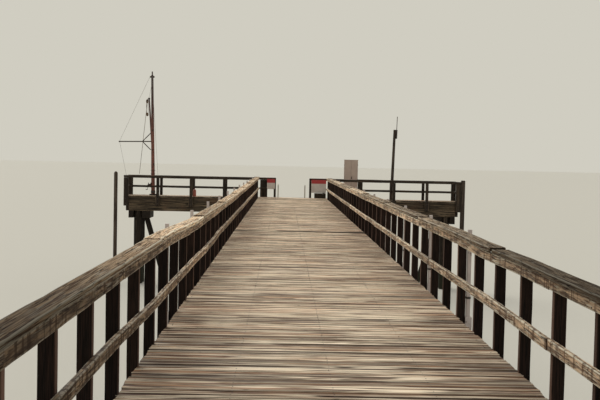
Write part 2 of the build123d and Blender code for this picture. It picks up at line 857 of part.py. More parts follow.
# Taut stays: head band to crosstree tip to the left corner post, and head band to a landward post
def stay_between(start, end, diameter):
    """A taut wire or rope with an eye at each end, drawn as half an outline and turned about its line."""
    first = mast_plane.from_local_coords(Vector(*start))
    last = mast_plane.from_local_coords(Vector(*end))
    run = last - first
    wire = diameter / 2
    eye = stay_eye_diameter / 2
    neck = sqrt(eye**2 - wire**2)
    across = Plane(origin=first, z_dir=run)
    with BuildSketch(Plane(origin=first, x_dir=across.x_dir, z_dir=-across.y_dir)) as outline:
        with BuildLine():
            ThreePointArc((0, -eye), (eye, 0), (wire, neck))
            Line((wire, neck), (wire, run.length - neck))
            ThreePointArc((wire, run.length - neck), (eye, run.length), (0, run.length + eye))
            Line((0, run.length + eye), (0, -eye))
        make_face()
    revolve(outline.sketch, axis=Axis(first, run))


def in_mast_frame(place, setback, height):
    """A point given from the walkway's middle line and landward edge, in the mast's own frame."""
    point = mast_plane.to_local_coords(Vector(origin_x + place, origin_y + setback, height))
    return (point.X, point.Y, point.Z)


eye_seat = stay_eye_diameter / 2 + seat_gap
ear_eye = head_band_ear + eye_seat
front_eye = mast_radius(head_band_level - band_height / 2) + seat_gap + band_wall + eye_seat
anchor_level = deck_level + head_rail_top + eye_seat
tree_eye = crosstree_diameter / 2 + eye_seat
tree_tip = -crosstree_reach + crosstree_diameter
left_anchor = in_mast_frame(-corner_place, near_post_line, anchor_level)
right_anchor = in_mast_frame(-head_post_places[-1], near_post_line, anchor_level)
with BuildPart() as mast_stays:
    stay_between((-ear_eye, 0, head_band_level), (tree_tip, 0, crosstree_level + tree_eye), stay_diameter)
    stay_between((tree_tip, 0, crosstree_level - tree_eye), left_anchor, stay_diameter)
    stay_between((0, -front_eye, head_band_level), right_anchor, stay_diameter)
pieces["mast_stays"] = mast_stays

# Hand winch on the mast's left side: a cheek against the mast, a drum, a toothed outer cheek and a crank
winch_start = mast_radius(winch_level - winch_cheek_size / 2) + seat_gap
winch_face = Plane(
    origin=mast_plane.from_local_coords(Vector(-winch_start, 0, winch_level)),
    x_dir=(0, 1, 0),
    z_dir=-mast_plane.x_dir,
)
with BuildPart() as winch:
    with BuildSketch(winch_face):
        Rectangle(winch_cheek_size, winch_cheek_size)
    extrude(amount=winch_cheek)
    with BuildSketch(winch_face.offset(winch_cheek)):
        Circle(winch_drum / 2)
    extrude(amount=winch_length)
    with BuildSketch(winch_face.offset(winch_cheek + winch_length)):
        Circle(winch_cheek_size / 2)
        with PolarLocations(winch_cheek_size / 2, winch_tooth_count):
            Triangle(a=winch_tooth_depth, b=winch_tooth_depth, C=winch_tooth_angle,
                     rotation=2 * winch_tooth_angle, mode=Mode.SUBTRACT)
    extrude(amount=winch_cheek)
    with BuildSketch(winch_face.offset(winch_cheek + winch_length + winch_cheek)):
        Circle(winch_spindle / 2)
    extrude(amount=winch_spindle_reach)
    crank_face = winch_face.offset(winch_cheek + winch_length + winch_cheek + winch_spindle_reach)
    with BuildSketch(crank_face):
        with Locations((0, crank_length / 2)):
            SlotCenterToCenter(crank_length, crank_width, rotation=90)
    extrude(amount=crank_thickness)
    with BuildSketch(crank_face.offset(crank_thickness)):
        with Locations((0, crank_length)):
            Circle(grip_diameter / 2)
    extrude(amount=grip_length)
pieces["winch"] = winch

# Gooseneck: an upright pin that turns in the two lugs and a jaw above them for the boom's heel
jaw_foot = upper_lug + lug_thickness + running_gap
collar_top = lower_lug - running_gap
cheek_line = tongue_thickness / 2 + running_gap + cheek_thickness / 2
jaw_span = tongue_thickness + 2 * running_gap + 2 * cheek_thickness
with BuildPart() as gooseneck:
    with BuildSketch(mast_plane.offset(collar_top - collar_height)):
        with Locations((0, swing_reach)):
            Circle(collar_diameter / 2)
    extrude(amount=collar_height)
    with BuildSketch(mast_plane.offset(collar_top)):
        with Locations((0, swing_reach)):
            Circle(heel_pin_diameter / 2)
    extrude(amount=jaw_foot - collar_top)
    with BuildSketch(mast_plane.offset(jaw_foot)):
        with Locations((0, swing_reach)):
            Circle(jaw_span / 2 + running_gap)
    extrude(amount=jaw_base)
    with BuildSketch(mast_plane.offset(jaw_foot + jaw_base)):
        with Locations((0, swing_reach - cheek_line), (0, swing_reach + cheek_line)):
            Rectangle(tongue_width, cheek_thickness)
    extrude(amount=heel_level + tongue_width / 2 - jaw_foot - jaw_base)
    rod_between((0, swing_reach - jaw_span / 2, heel_level), (0, swing_reach + jaw_span / 2, heel_level),
                jaw_pin_diameter, mast_plane)
pieces["gooseneck"] = gooseneck

# Boom, a tapered spar on a flat tongue, leaning to the left of the mast's own upright
boom_slope = radians(boom_lean)
boom_foot = mast_plane.from_local_coords(Vector(0, swing_reach, heel_level))
boom_up = (mast_plane.z_dir * cos(boom_slope) - mast_plane.x_dir * sin(boom_slope)).normalized()
boom_plane = Plane(origin=boom_foot, x_dir=(0, 1, 0), z_dir=boom_up)
boom_taper = (boom_heel_diameter - boom_head_diameter) / (boom_length - tongue_length)
with BuildPart() as boom:
    with BuildSketch(Plane(origin=boom_foot, x_dir=boom_up, z_dir=(0, 1, 0))):
        Circle(tongue_width / 2)
        rectangle_between(0, tongue_length, -tongue_width / 2, tongue_width / 2)
        Circle(jaw_pin_diameter / 2 + seat_gap, mode=Mode.SUBTRACT)
    extrude(amount=tongue_thickness / 2, both=True)
    with BuildSketch(boom_plane.offset(tongue_length)):
        Circle(boom_heel_diameter / 2)
    with BuildSketch(boom_plane.offset(boom_length)):
        Circle(boom_head_diameter / 2)
    loft()
pieces["boom"] = boom

# Boom head: a steel cap over the spar's end with a lug on its left for the tackle
cap_bore = (boom_head_diameter + boom_taper * boom_cap_depth) / 2 + seat_gap
cap_radius = cap_bore + band_wall
with BuildPart() as boom_cap:
    with BuildSketch(boom_plane.offset(boom_length - boom_cap_depth)):
        Circle(cap_radius)
        Circle(cap_bore, mode=Mode.SUBTRACT)
    extrude(amount=boom_cap_depth + seat_gap)
    with BuildSketch(boom_plane.offset(boom_length + seat_gap)):
        Circle(cap_radius)
    extrude(amount=band_wall)
    with BuildSketch(boom_plane.offset(boom_length - boom_cap_depth)):
        with Locations((0, cap_radius + cap_lug_reach / 2 - band_wall / 2)):
            Rectangle(lug_thickness, cap_lug_reach + band_wall)
    extrude(amount=cap_lug_depth)
pieces["boom_cap"] = boom_cap

# Topping lift: a swivel that hangs in the crane arm, and the taut wire down to the boom head
swivel_top = crane_underside + crane_thickness + running_gap
swivel_body_top = crane_underside - running_gap
swivel_end = (0, swing_reach, swivel_body_top - swivel_body_height)
lift_foot = mast_plane.to_local_coords(
    boom_plane.from_local_coords(Vector(0, 0, boom_length + seat_gap + band_wall + eye_seat))
)
with BuildPart() as topping_lift:
    with BuildSketch(mast_plane.offset(swivel_top)):
        with Locations((0, swing_reach)):
            Circle(swivel_head_diameter / 2)
    extrude(amount=swivel_head_height)
    with BuildSketch(mast_plane.offset(swivel_body_top)):
        with Locations((0, swing_reach)):
            Circle(swivel_pin_diameter / 2)
    extrude(amount=swivel_top - swivel_body_top)
    with BuildSketch(mast_plane.offset(swivel_end[2])):
        with Locations((0, swing_reach)):
            Circle(swivel_body_diameter / 2)
    extrude(amount=swivel_body_height)
    stay_between(swivel_end, (lift_foot.X, lift_foot.Y, lift_foot.Z), stay_diameter)
pieces["topping_lift"] = topping_lift

# Tackle hanging from the boom head's lug: two blocks and the falls between them
lug_end = mast_plane.to_local_coords(
    boom_plane.from_local_coords(Vector(0, cap_radius + cap_lug_reach, boom_length - boom_cap_depth))
)
block_reach = block_length / 2 + 2 * seat_gap
upper_block = (lug_end.X, lug_end.Y, lug_end.Z - block_reach)
lower_block = (lug_end.X, lug_end.Y, lug_end.Z - block_reach - tackle_drop)


def block_at(point, crown_turn):
    """A rope block: two cheeks joined by a crown, up or down, and a grooved sheave on a pin."""
    middle = mast_plane.from_local_coords(Vector(*point))
    face = Plane(origin=middle, x_dir=mast_plane.z_dir, z_dir=(0, 1, 0))
    inner = block_thickness / 2 - block_cheek
    with BuildSketch(face) as crown:
        SlotOverall(block_length, block_width)
        with Locations((-crown_turn * block_crown, 0)):
            Rectangle(block_length, block_width, mode=Mode.SUBTRACT)
    extrude(crown.sketch, amount=block_thickness / 2, both=True)
    for turn in (-1, 1):
        with BuildSketch(face.offset(turn * (inner + block_cheek / 2))) as cheek:
            SlotOverall(block_length, block_width)
        extrude(cheek.sketch, amount=block_cheek / 2, both=True)
    with BuildSketch(face) as pin:
        Circle(sheave_pin_diameter / 2)
    extrude(pin.sketch, amount=block_thickness / 2, both=True)
    half_sheave = inner - sheave_clearance
    rim = sheave_diameter / 2
    with BuildSketch(Plane(origin=face.origin, x_dir=face.x_dir, z_dir=face.y_dir)) as sheave:
        with BuildLine():
            Polyline((0, -half_sheave), (rim, -half_sheave), (rim - sheave_groove, 0),
                     (rim, half_sheave), (0, half_sheave), (0, -half_sheave))
        make_face()
    revolve(sheave.sketch, axis=Axis(face.origin, face.z_dir))


with BuildPart() as boom_tackle:
    block_at(upper_block, 1)
    block_at(lower_block, -1)
    fall_offset = sheave_diameter / 2 - sheave_groove
    for offset in (-fall_offset, fall_offset):
        rod_between(
            (upper_block[0] + offset, upper_block[1], upper_block[2]),
            (lower_block[0] + offset, lower_block[1], lower_block[2]),
            rope_diameter,
            mast_plane,
        )
pieces["boom_tackle"] = boom_tackle

# Hauling part of the tackle, led down and left to hook over the far rail while the boom is stowed
hook_point = in_mast_frame(-mast_offset - fall_reach, far_post_line, deck_level + fall_end_level)
fall_top = (upper_block[0], upper_block[1] + block_thickness / 2 + eye_seat, upper_block[2])
with BuildPart() as boom_fall:
    stay_between(fall_top, hook_point, rope_diameter)
pieces["boom_fall"] = boom_fall

os.makedirs("parts", exist_ok=True)
for label, piece in pieces.items():
    piece.part.label = label
    export_step(piece.part, f"parts/{label}.step")
    print(label, len(piece.part.solids()), "solids", round(piece.part.volume / 1e9, 3), "cubic metres")
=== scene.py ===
# %% [markdown]
# # A weathered timber jetty
#
# The jetty is a railed walkway on pile bents with a narrow cross head at its far end. The engineer's
# model already holds every timber at its true size. This lesson dresses that model: each sound, square
# timber is swapped for a worn one that is cut inside the same box, and each finish is built from noise.
#
# The frame comes first, because everything else takes its sizes and places from it.

# %% Load the frame
import math

import bpy
import numpy as np
from mathutils import Matrix, Vector


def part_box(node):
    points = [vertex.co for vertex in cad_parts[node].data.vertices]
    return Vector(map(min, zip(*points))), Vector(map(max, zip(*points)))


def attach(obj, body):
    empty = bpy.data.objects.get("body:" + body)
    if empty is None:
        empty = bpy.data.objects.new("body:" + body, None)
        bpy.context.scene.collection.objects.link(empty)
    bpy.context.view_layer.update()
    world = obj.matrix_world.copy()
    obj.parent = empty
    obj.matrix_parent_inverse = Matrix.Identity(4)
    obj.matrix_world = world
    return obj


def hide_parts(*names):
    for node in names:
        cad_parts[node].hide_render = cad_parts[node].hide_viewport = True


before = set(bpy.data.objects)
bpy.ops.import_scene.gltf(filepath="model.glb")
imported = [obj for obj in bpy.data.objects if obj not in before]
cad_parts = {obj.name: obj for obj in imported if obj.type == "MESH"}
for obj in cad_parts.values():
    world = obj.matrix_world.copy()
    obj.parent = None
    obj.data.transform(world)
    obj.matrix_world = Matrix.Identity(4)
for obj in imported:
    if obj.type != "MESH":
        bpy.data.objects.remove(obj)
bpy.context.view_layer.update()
deck_low, deck_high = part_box("walkway_deck_1")
deck_level = deck_high.z
middle_line = (deck_low.x + deck_high.x) / 2
landward_edge = deck_low.y
head_low, head_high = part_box("head_deck")
head_middle = (head_low.y + head_high.y) / 2
print(len(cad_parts), "nodes; deck level", round(deck_level, 3), "m")

# %% [markdown]
# ## The camera
#
# The picture is taken by someone standing a step left of the walkway's middle line, with their eye 1.70 m
# over the boards, a few metres behind the first bay. A camera could be aimed with a Track To constraint,
# but a small roll is part of the view, so three plain turns are multiplied instead: roll first, then the
# pitch, then the yaw.

# %% Camera
eye_height = 1.70
eye_left_of_middle = 0.40
eye_behind_edge = 3.19
focal_pixels = 910.0
picture_width = 600.0
sensor_width = 36.0
farthest_seen = 3000.0
yaw_right = math.radians(1.03)
pitch_down = math.radians(2.46)
roll_left = 0.0215  # radians

camera_data = bpy.data.cameras.new("camera")
camera_data.sensor_width = sensor_width
camera_data.lens = sensor_width * focal_pixels / picture_width
camera_data.clip_end = farthest_seen
camera = bpy.data.objects.new("camera", camera_data)
bpy.context.scene.collection.objects.link(camera)
eye = Vector((middle_line - eye_left_of_middle, landward_edge - eye_behind_edge, deck_level + eye_height))
turn = (Matrix.Rotation(-yaw_right, 4, "Z")
        @ Matrix.Rotation(math.pi / 2 - pitch_down, 4, "X")
        @ Matrix.Rotation(roll_left, 4, "Z"))
camera.matrix_world = Matrix.Translation(eye) @ turn
bpy.context.scene.camera = camera
print("lens", round(camera_data.lens, 1), "mm, eye at", [round(v, 2) for v in eye])

# %% [markdown]
# ## Node helpers
#
# A finish is a graph of small nodes. Writing each node as `tree.nodes.new` followed by a line for every
# socket hides the idea under bookkeeping, so one helper makes a node, sets its options and fills its
# sockets. A value that is itself a socket is linked, and any other value is written on the socket.
# Colours are noted as they look on a screen, 0 to 255, and turned into the linear values that light uses.
# A mask is a number from 0 to 1 over the surface, and most looks are one colour laid over another by a mask.

# %% Node helpers
def fill(tree, socket, value):
    """Link a socket to another one, or write a plain value on it."""
    if isinstance(value, bpy.types.NodeSocket):
        tree.links.new(value, socket)
    else:
        socket.default_value = value


def node(tree, kind, inputs=None, **options):
    """Make a node, set its options, and link or fill its inputs by name or number."""
    made = tree.nodes.new("ShaderNode" + kind)
    for option, value in options.items():
        setattr(made, option, value)
    for name, value in (inputs or {}).items():
        fill(tree, made.inputs[name], value)
    return made


def tint(red, green, blue):
    """A colour as it looks on a screen, as linear light with full alpha."""
    seen = np.array([red, green, blue]) / 255
    light = np.where(seen <= 0.04045, seen / 12.92, ((seen + 0.055) / 1.055) ** 2.4)
    return (*[float(v) for v in light], 1.0)


def maths(tree, operation, first, second=0.0):
    """One sum on numbers, such as MULTIPLY or ADD."""
    return node(tree, "Math", {0: first, 1: second}, operation=operation).outputs[0]


def blend(tree, amount, first, second):
    """One colour laid over another by an amount from 0 to 1. A Mix node's colour sockets are 6 and 7."""
    return node(tree, "Mix", {0: amount, 6: first, 7: second}, data_type="RGBA", clamp_factor=True).outputs[2]


def lay_over(tree, colour, mask, share, coat):
    """Lay a coat over a colour where a mask shows, at a share of its strength."""
    return blend(tree, maths(tree, "MULTIPLY", mask, share), colour, coat)


def window(tree, value, low, high, first=0.0, last=1.0):
    """A smooth step: first below low, last above high."""
    ends = {"Value": value, "From Min": low, "From Max": high, "To Min": first, "To Max": last}
    return node(tree, "MapRange", ends, interpolation_type="SMOOTHSTEP").outputs[0]


print("helpers ready; mid grey is", [round(v, 3) for v in tint(128, 128, 128)])

# %% Noise and group helpers
def shifted(tree, place, by):
    """A place moved aside, so that a second helping of the same noise comes out different."""
    return node(tree, "VectorMath", {0: place, 1: by}, operation="ADD").outputs[0]


def stretched_noise(tree, place, sizes, detail=3.0, roughness=0.55, distortion=0.0):
    """Noise whose blobs measure sizes, in metres or as sockets, along the three axes of a place."""
    shrink = {axis: maths(tree, "DIVIDE", 1.0, size) if isinstance(size, bpy.types.NodeSocket) else 1 / size
              for axis, size in enumerate(sizes)}
    shrink = node(tree, "CombineXYZ", shrink).outputs[0]
    scaled = node(tree, "VectorMath", {0: place, 1: shrink}, operation="MULTIPLY").outputs[0]
    return node(tree, "TexNoise", {"Vector": scaled, "Scale": 1.0, "Detail": detail, "Roughness": roughness,
                                   "Distortion": distortion}).outputs["Fac"]


def cut_at_share(tree, noise, share, highest, fall, softness):
    """A mask from noise, cut at a level that falls as the share grows."""
    level = maths(tree, "SUBTRACT", highest, maths(tree, "MULTIPLY", share, fall))
    return window(tree, noise, level, maths(tree, "ADD", level, softness))


def group(name, values, outputs=("Mask",)):
    """A shader node group that takes a place and named numbers: its tree, what it is given and its result."""
    tree = bpy.data.node_groups.new(name, "ShaderNodeTree")
    tree.interface.new_socket("Place", in_out="INPUT", socket_type="NodeSocketVector")
    for label, value in values.items():
        socket = tree.interface.new_socket(label, in_out="INPUT", socket_type="NodeSocketFloat")
        socket.default_value = value
    for label in outputs:
        tree.interface.new_socket(label, in_out="OUTPUT", socket_type="NodeSocketFloat")
    given = tree.nodes.new("NodeGroupInput").outputs
    return tree, given[:len(values) + 1], tree.nodes.new("NodeGroupOutput").inputs


def use_group(tree, name, inputs):
    """Place a shared group in a material with this material's own values."""
    return node(tree, "Group", inputs, node_tree=bpy.data.node_groups[name]).outputs


def mask_of(tree, effect, place, **values):
    """The mask of a shared effect. A value called line_length goes to the input Line Length."""
    given = {label.replace("_", " ").title(): value for label, value in values.items()}
    return use_group(tree, effect, {"Place": place, **given})["Mask"]


print("a group takes a place and numbers, and gives masks")

# %% [markdown]
# ## Light and floor
#
# The day is overcast and bright, palest straight ahead, so nearly all the light is soft. A dome of lamps
# could do it, but a plain world colour is even from every side and costs nothing. One broad, weak sun ahead
# and above gives the boards their grazing sheen and leaves the faces that look at the camera darker. Rays
# from the camera and from glossy surfaces see the pale background instead of the light, so the background's
# colour never changes how brightly the timber is lit.

# %% World and sun
background = tint(208, 205, 193)
soft_light = tint(236, 235, 232)
soft_strength = 0.72
sun_strength = 1.5
sun_spread = math.radians(40)
sun_colour = (1.0, 0.97, 0.92)
sun_travel = Vector((0.34, -0.74, -0.60))

world = bpy.data.worlds.new("overcast")
bpy.context.scene.world = world
world.use_nodes = True
dome = world.node_tree
dome.nodes.clear()
rays = node(dome, "LightPath").outputs
sees_backdrop = maths(dome, "MAXIMUM", rays["Is Camera Ray"],
                      maths(dome, "MAXIMUM", rays["Is Glossy Ray"], rays["Is Transmission Ray"]))
lit = node(dome, "Background", {"Color": soft_light, "Strength": soft_strength})
seen = node(dome, "Background", {"Color": background, "Strength": 1.0})
either = node(dome, "MixShader", {0: sees_backdrop, 1: lit.outputs[0], 2: seen.outputs[0]})
node(dome, "OutputWorld", {"Surface": either.outputs[0]})

sun_data = bpy.data.lights.new("low_sun", "SUN")
sun_data.energy = sun_strength
sun_data.angle = sun_spread
sun_data.color = sun_colour
sun = bpy.data.objects.new("low_sun", sun_data)
sun.rotation_euler = sun_travel.to_track_quat("-Z", "Y").to_euler()
bpy.context.scene.collection.objects.link(sun)
bpy.context.scene.view_settings.view_transform = "Standard"
print("soft light", soft_strength, "sun", sun_strength)

# %% Floor
floor_reach = 900.0
floor_corners = [(x * floor_reach, y * floor_reach, 0) for x, y in ((-1, -1), (1, -1), (1, 1), (-1, 1))]
floor_mesh = bpy.data.meshes.new("floor")
floor_mesh.from_pydata(floor_corners, [], [(0, 1, 2, 3)])
floor = bpy.data.objects.new("floor", floor_mesh)
bpy.context.scene.collection.objects.link(floor)
floor_finish = bpy.data.materials.new("floor")
floor_finish.use_nodes = True
floor_shader = floor_finish.node_tree.nodes["Principled BSDF"]
for label, value in (("Base Color", background), ("Roughness", 0.9), ("Specular IOR Level", 0.1)):
    floor_shader.inputs[label].default_value = value
floor_mesh.materials.append(floor_finish)
print("the floor reaches", floor_reach, "m each way")

# %% [markdown]
# ## Shared effects
#
# Weathered timber shows the same few things everywhere, so each is a node group with its own inputs.
#
# * **Grain**: soft streaks that run the length of the piece, fine fibres inside them, and narrow drying
#   checks. All three are one kind of noise, pulled out long along the grain.
# * **Wear**: arrises that feet, hands and rain have rounded go pale in broken stretches.
# * **Drips**: rain that runs over a rail leaves dark tongues, hung from its top edge.
# * **Blotches**: patches of lichen, damp or lost paint, from noise cut at a level.
# * **Combed Lines**: the soft wood between the rings wears away first, so old boards are combed with fine
#   dark furrows and bleached ridges, a metre long and a finger's width or less across.
#
# An image texture would show its tiling on forty metres of timber, and noise never repeats.

# %% Grain group
fibre_size = (0.16, 0.005, 0.005)
check_size = (0.7, 0.022, 0.022)
checked_patch = (0.5, 0.09, 0.09)
soft_contrast = (0.38, 0.62)
split_contrast = (0.62, 0.52)
check_edges = (0.022, 0.006)
streak_relief, fibre_relief = 0.6, 0.25

tree, (place, streak_length, streak_width, check_share), result = group(
    "Grain", {"Streak Length": 1.2, "Streak Width": 0.03, "Check Share": 0.5},
    ("Streak", "Fibre", "Check", "Relief"))
streak = stretched_noise(tree, place, (streak_length, streak_width, streak_width), 4.0, 0.6, 0.4)
fibre = stretched_noise(tree, place, fibre_size, 2.0)
# A check runs where its noise crosses one half, in the patches that have split at all
crossing = stretched_noise(tree, place, check_size, 1.0, 0.4)
off_line = maths(tree, "ABSOLUTE", maths(tree, "SUBTRACT", crossing, 0.5))
split_here = window(tree, stretched_noise(tree, place, checked_patch, 1.0), *split_contrast)
check = maths(tree, "MULTIPLY", window(tree, off_line, *check_edges), split_here)
check = maths(tree, "MULTIPLY", check, check_share)
relief = maths(tree, "ADD", maths(tree, "MULTIPLY", streak, streak_relief),
               maths(tree, "MULTIPLY", fibre, fibre_relief))
for label, value in (("Streak", window(tree, streak, *soft_contrast)),
                     ("Fibre", window(tree, fibre, *soft_contrast)), ("Check", check),
                     ("Relief", maths(tree, "SUBTRACT", relief, check))):
    tree.links.new(value, result[label])
print("Grain gives", [socket.name for socket in result if socket.name])

# %% Wear, drips, blotches and combed lines groups
patch_width = 1 / 30
wear_edges = (0.85, 1.05)
unbroken_line, broken_contrast = (0.6, 0.15, 0.15), (0.36, 0.54)

tree, (place, arris, amount, patch_length), result = group(
    "Wear", {"Arris": 0.0, "Amount": 0.5, "Patch Length": 0.4})
patch = stretched_noise(tree, place, (patch_length, patch_width, patch_width), 4.0, 0.65)
worn = maths(tree, "ADD", maths(tree, "MULTIPLY", arris, amount), patch)
tree.links.new(window(tree, worn, *wear_edges), result["Mask"])

tree, (place, spacing, length, share), result = group("Drips", {"Spacing": 0.07, "Length": 0.5, "Share": 0.5})
runs = stretched_noise(tree, place, (spacing, spacing, length), 2.0, 0.7)
tree.links.new(cut_at_share(tree, runs, share, highest=0.78, fall=0.4, softness=0.08), result["Mask"])

tree, (place, size, share, softness), result = group("Blotches", {"Size": 0.3, "Share": 0.4, "Softness": 0.1})
spots = stretched_noise(tree, place, (size, size, size), 6.0, 0.6)
tree.links.new(cut_at_share(tree, spots, share, highest=0.7, fall=0.4, softness=softness), result["Mask"])

tree, (place, length, width, share), result = group(
    "Combed Lines", {"Line Length": 0.8, "Line Width": 0.02, "Share": 0.5})
lines = stretched_noise(tree, place, (length, width, width), 2.0, 0.5, 0.3)
lines = cut_at_share(tree, lines, share, highest=0.68, fall=0.3, softness=0.04)
broken = window(tree, stretched_noise(tree, place, unbroken_line, 2.0), *broken_contrast)
tree.links.new(maths(tree, "MULTIPLY", lines, broken), result["Mask"])
print("groups:", [shared.name for shared in bpy.data.node_groups])

# %% [markdown]
# ## Timber finishes
#
# Every timber here is the same wood at a different stage: the deck is washed grey-brown and trodden pale,
# the posts are tarred nearly black, the rails are bleached by hands and rain. One function builds the
# whole family, and each member is a call with its own colours and shares. The worn timbers carry three
# measures of their own on each point: `grain_at`, a place in the log they were sawn from, `tone`, how
# dark this piece is beside its neighbours, and `arris`, which is 1 on the sawn edges and -1 on the end
# grain.

# %% Strengths and colours that all timbers share
bump_height = 0.004
fibre_strength, comb_strength, stain_strength, scuff_strength = 0.22, 0.8, 0.5, 0.3
wear_strength, crust_strength, drip_strength = 0.85, 0.45, 0.7
end_grain_strength, damp_strength = 0.75, 0.7
band_size, band_contrast = (0.9, 0.055, 0.055), (0.47, 0.62)
russet_patch = {"size": 0.9, "softness": 0.25}
# Patches where the deck is scuffed and where painted glints show
scuff_and_glint_patch = {"size": 1.1, "share": 0.75, "softness": 0.3}
crust_patch = {"size": 0.09, "softness": 0.08}
damp_wave, damp_play, damp_softness = (0.25, 0.25, 0.5), 0.9, 0.6
# Metres from the walkway's middle line
path_edge, path_core = 1.35, 0.5
border_edge, border_core, border_shade = 1.6, 0.8, 0.84
# Painted glints of the bright sky on the deck
gleam_edge, gleam_core = 1.5, 0.5
gleam_lines = {"line_length": 2.0, "line_width": 0.06, "share": 0.4}
glint_strength = 0.9
# Noise read this far aside shows another pattern
ridge_aside, gleam_aside = (3.0, 7.0, 5.0), (11.0, 3.0, 7.0)
ridge_longer, ridge_narrower, comb_depth = 1.4, 0.8, 0.4
russet_stain = tint(112, 82, 62)
lichen_crust = tint(186, 176, 146)
check_shadow = tint(18, 14, 11)
end_grain_dark = tint(30, 23, 17)
damp_green = tint(38, 42, 30)
flank_shadow = tint(26, 20, 15)
# Painted light on the post faces that look at the walkway
lit_inner_face = tint(136, 108, 94)
end_grain_edges = (-0.3, -0.9)
flank_edges, lit_inner_edges = (0.75, 0.35), (0.5, 0.9)
rough_play = 0.12
print("the trodden path is", 2 * path_edge, "m wide")

# %% What every finish starts from
def start_finish(name, roughness, bump_strength, height, gloss=0.5):
    """An empty material with a Principled shader and a bump that the caller feeds."""
    finish = bpy.data.materials.new(name)
    finish.use_nodes = True
    tree = finish.node_tree
    shader = tree.nodes["Principled BSDF"]
    shader.inputs["Roughness"].default_value = roughness
    shader.inputs["Specular IOR Level"].default_value = gloss
    bump = node(tree, "Bump", {"Strength": bump_strength, "Distance": height})
    tree.links.new(bump.outputs[0], shader.inputs["Normal"])
    return finish, tree, shader, bump


def measure(tree, name, output="Fac"):
    """One of the measures that a worn piece carries on its points."""
    return node(tree, "Attribute", attribute_name=name).outputs[output]


def comb(tree, place, colour, relief, dark, pale, combed):
    """Dark furrows and pale ridges along the grain, in the colour and in the relief."""
    length, width, dark_share, pale_share = combed
    furrow = mask_of(tree, "Combed Lines", place, line_length=length, line_width=width, share=dark_share)
    ridge = mask_of(tree, "Combed Lines", shifted(tree, place, ridge_aside), share=pale_share,
                    line_length=length * ridge_longer, line_width=width * ridge_narrower)
    colour = lay_over(tree, colour, furrow, comb_strength, dark)
    colour = lay_over(tree, colour, ridge, comb_strength, pale)
    depth = maths(tree, "MULTIPLY", maths(tree, "SUBTRACT", ridge, furrow), comb_depth)
    return colour, maths(tree, "ADD", relief, depth), ridge


def shade_sides(tree, colour, across_deck, flank, lit_inner):
    """Paint shade on a board's upright flanks, and paint light on the posts' faces that look at the walkway.
    """
    facing = node(tree, "NewGeometry").outputs["Normal"]
    sideways, _, upward = node(tree, "SeparateXYZ", {0: facing}).outputs
    # Painted shade on the flanks, which face into the gaps between boards
    if flank:
        colour = lay_over(tree, colour, window(tree, upward, *flank_edges), flank, flank_shadow)
    # Painted light: post faces that look across the walkway are painted paler, as if lit by the open sky
    if lit_inner:
        to_walk = maths(tree, "SIGN", maths(tree, "SUBTRACT", middle_line, across_deck))
        inner = window(tree, maths(tree, "MULTIPLY", sideways, to_walk), *lit_inner_edges)
        colour = lay_over(tree, colour, inner, lit_inner, lit_inner_face)
    return colour


def gleam(tree, place, path, ridge, patchy):
    """Painted glints of the bright sky on a deck: on its ridges, and in long pale lines near the middle."""
    ridge_glints = maths(tree, "MULTIPLY", maths(tree, "MULTIPLY", ridge, patchy), glint_strength)
    lines = mask_of(tree, "Combed Lines", shifted(tree, place, gleam_aside), **gleam_lines)
    lines = maths(tree, "MULTIPLY", lines, window(tree, path, gleam_edge, gleam_core))
    return maths(tree, "MAXIMUM", ridge_glints, lines)


print("a finish starts as a Principled shader with a bump")

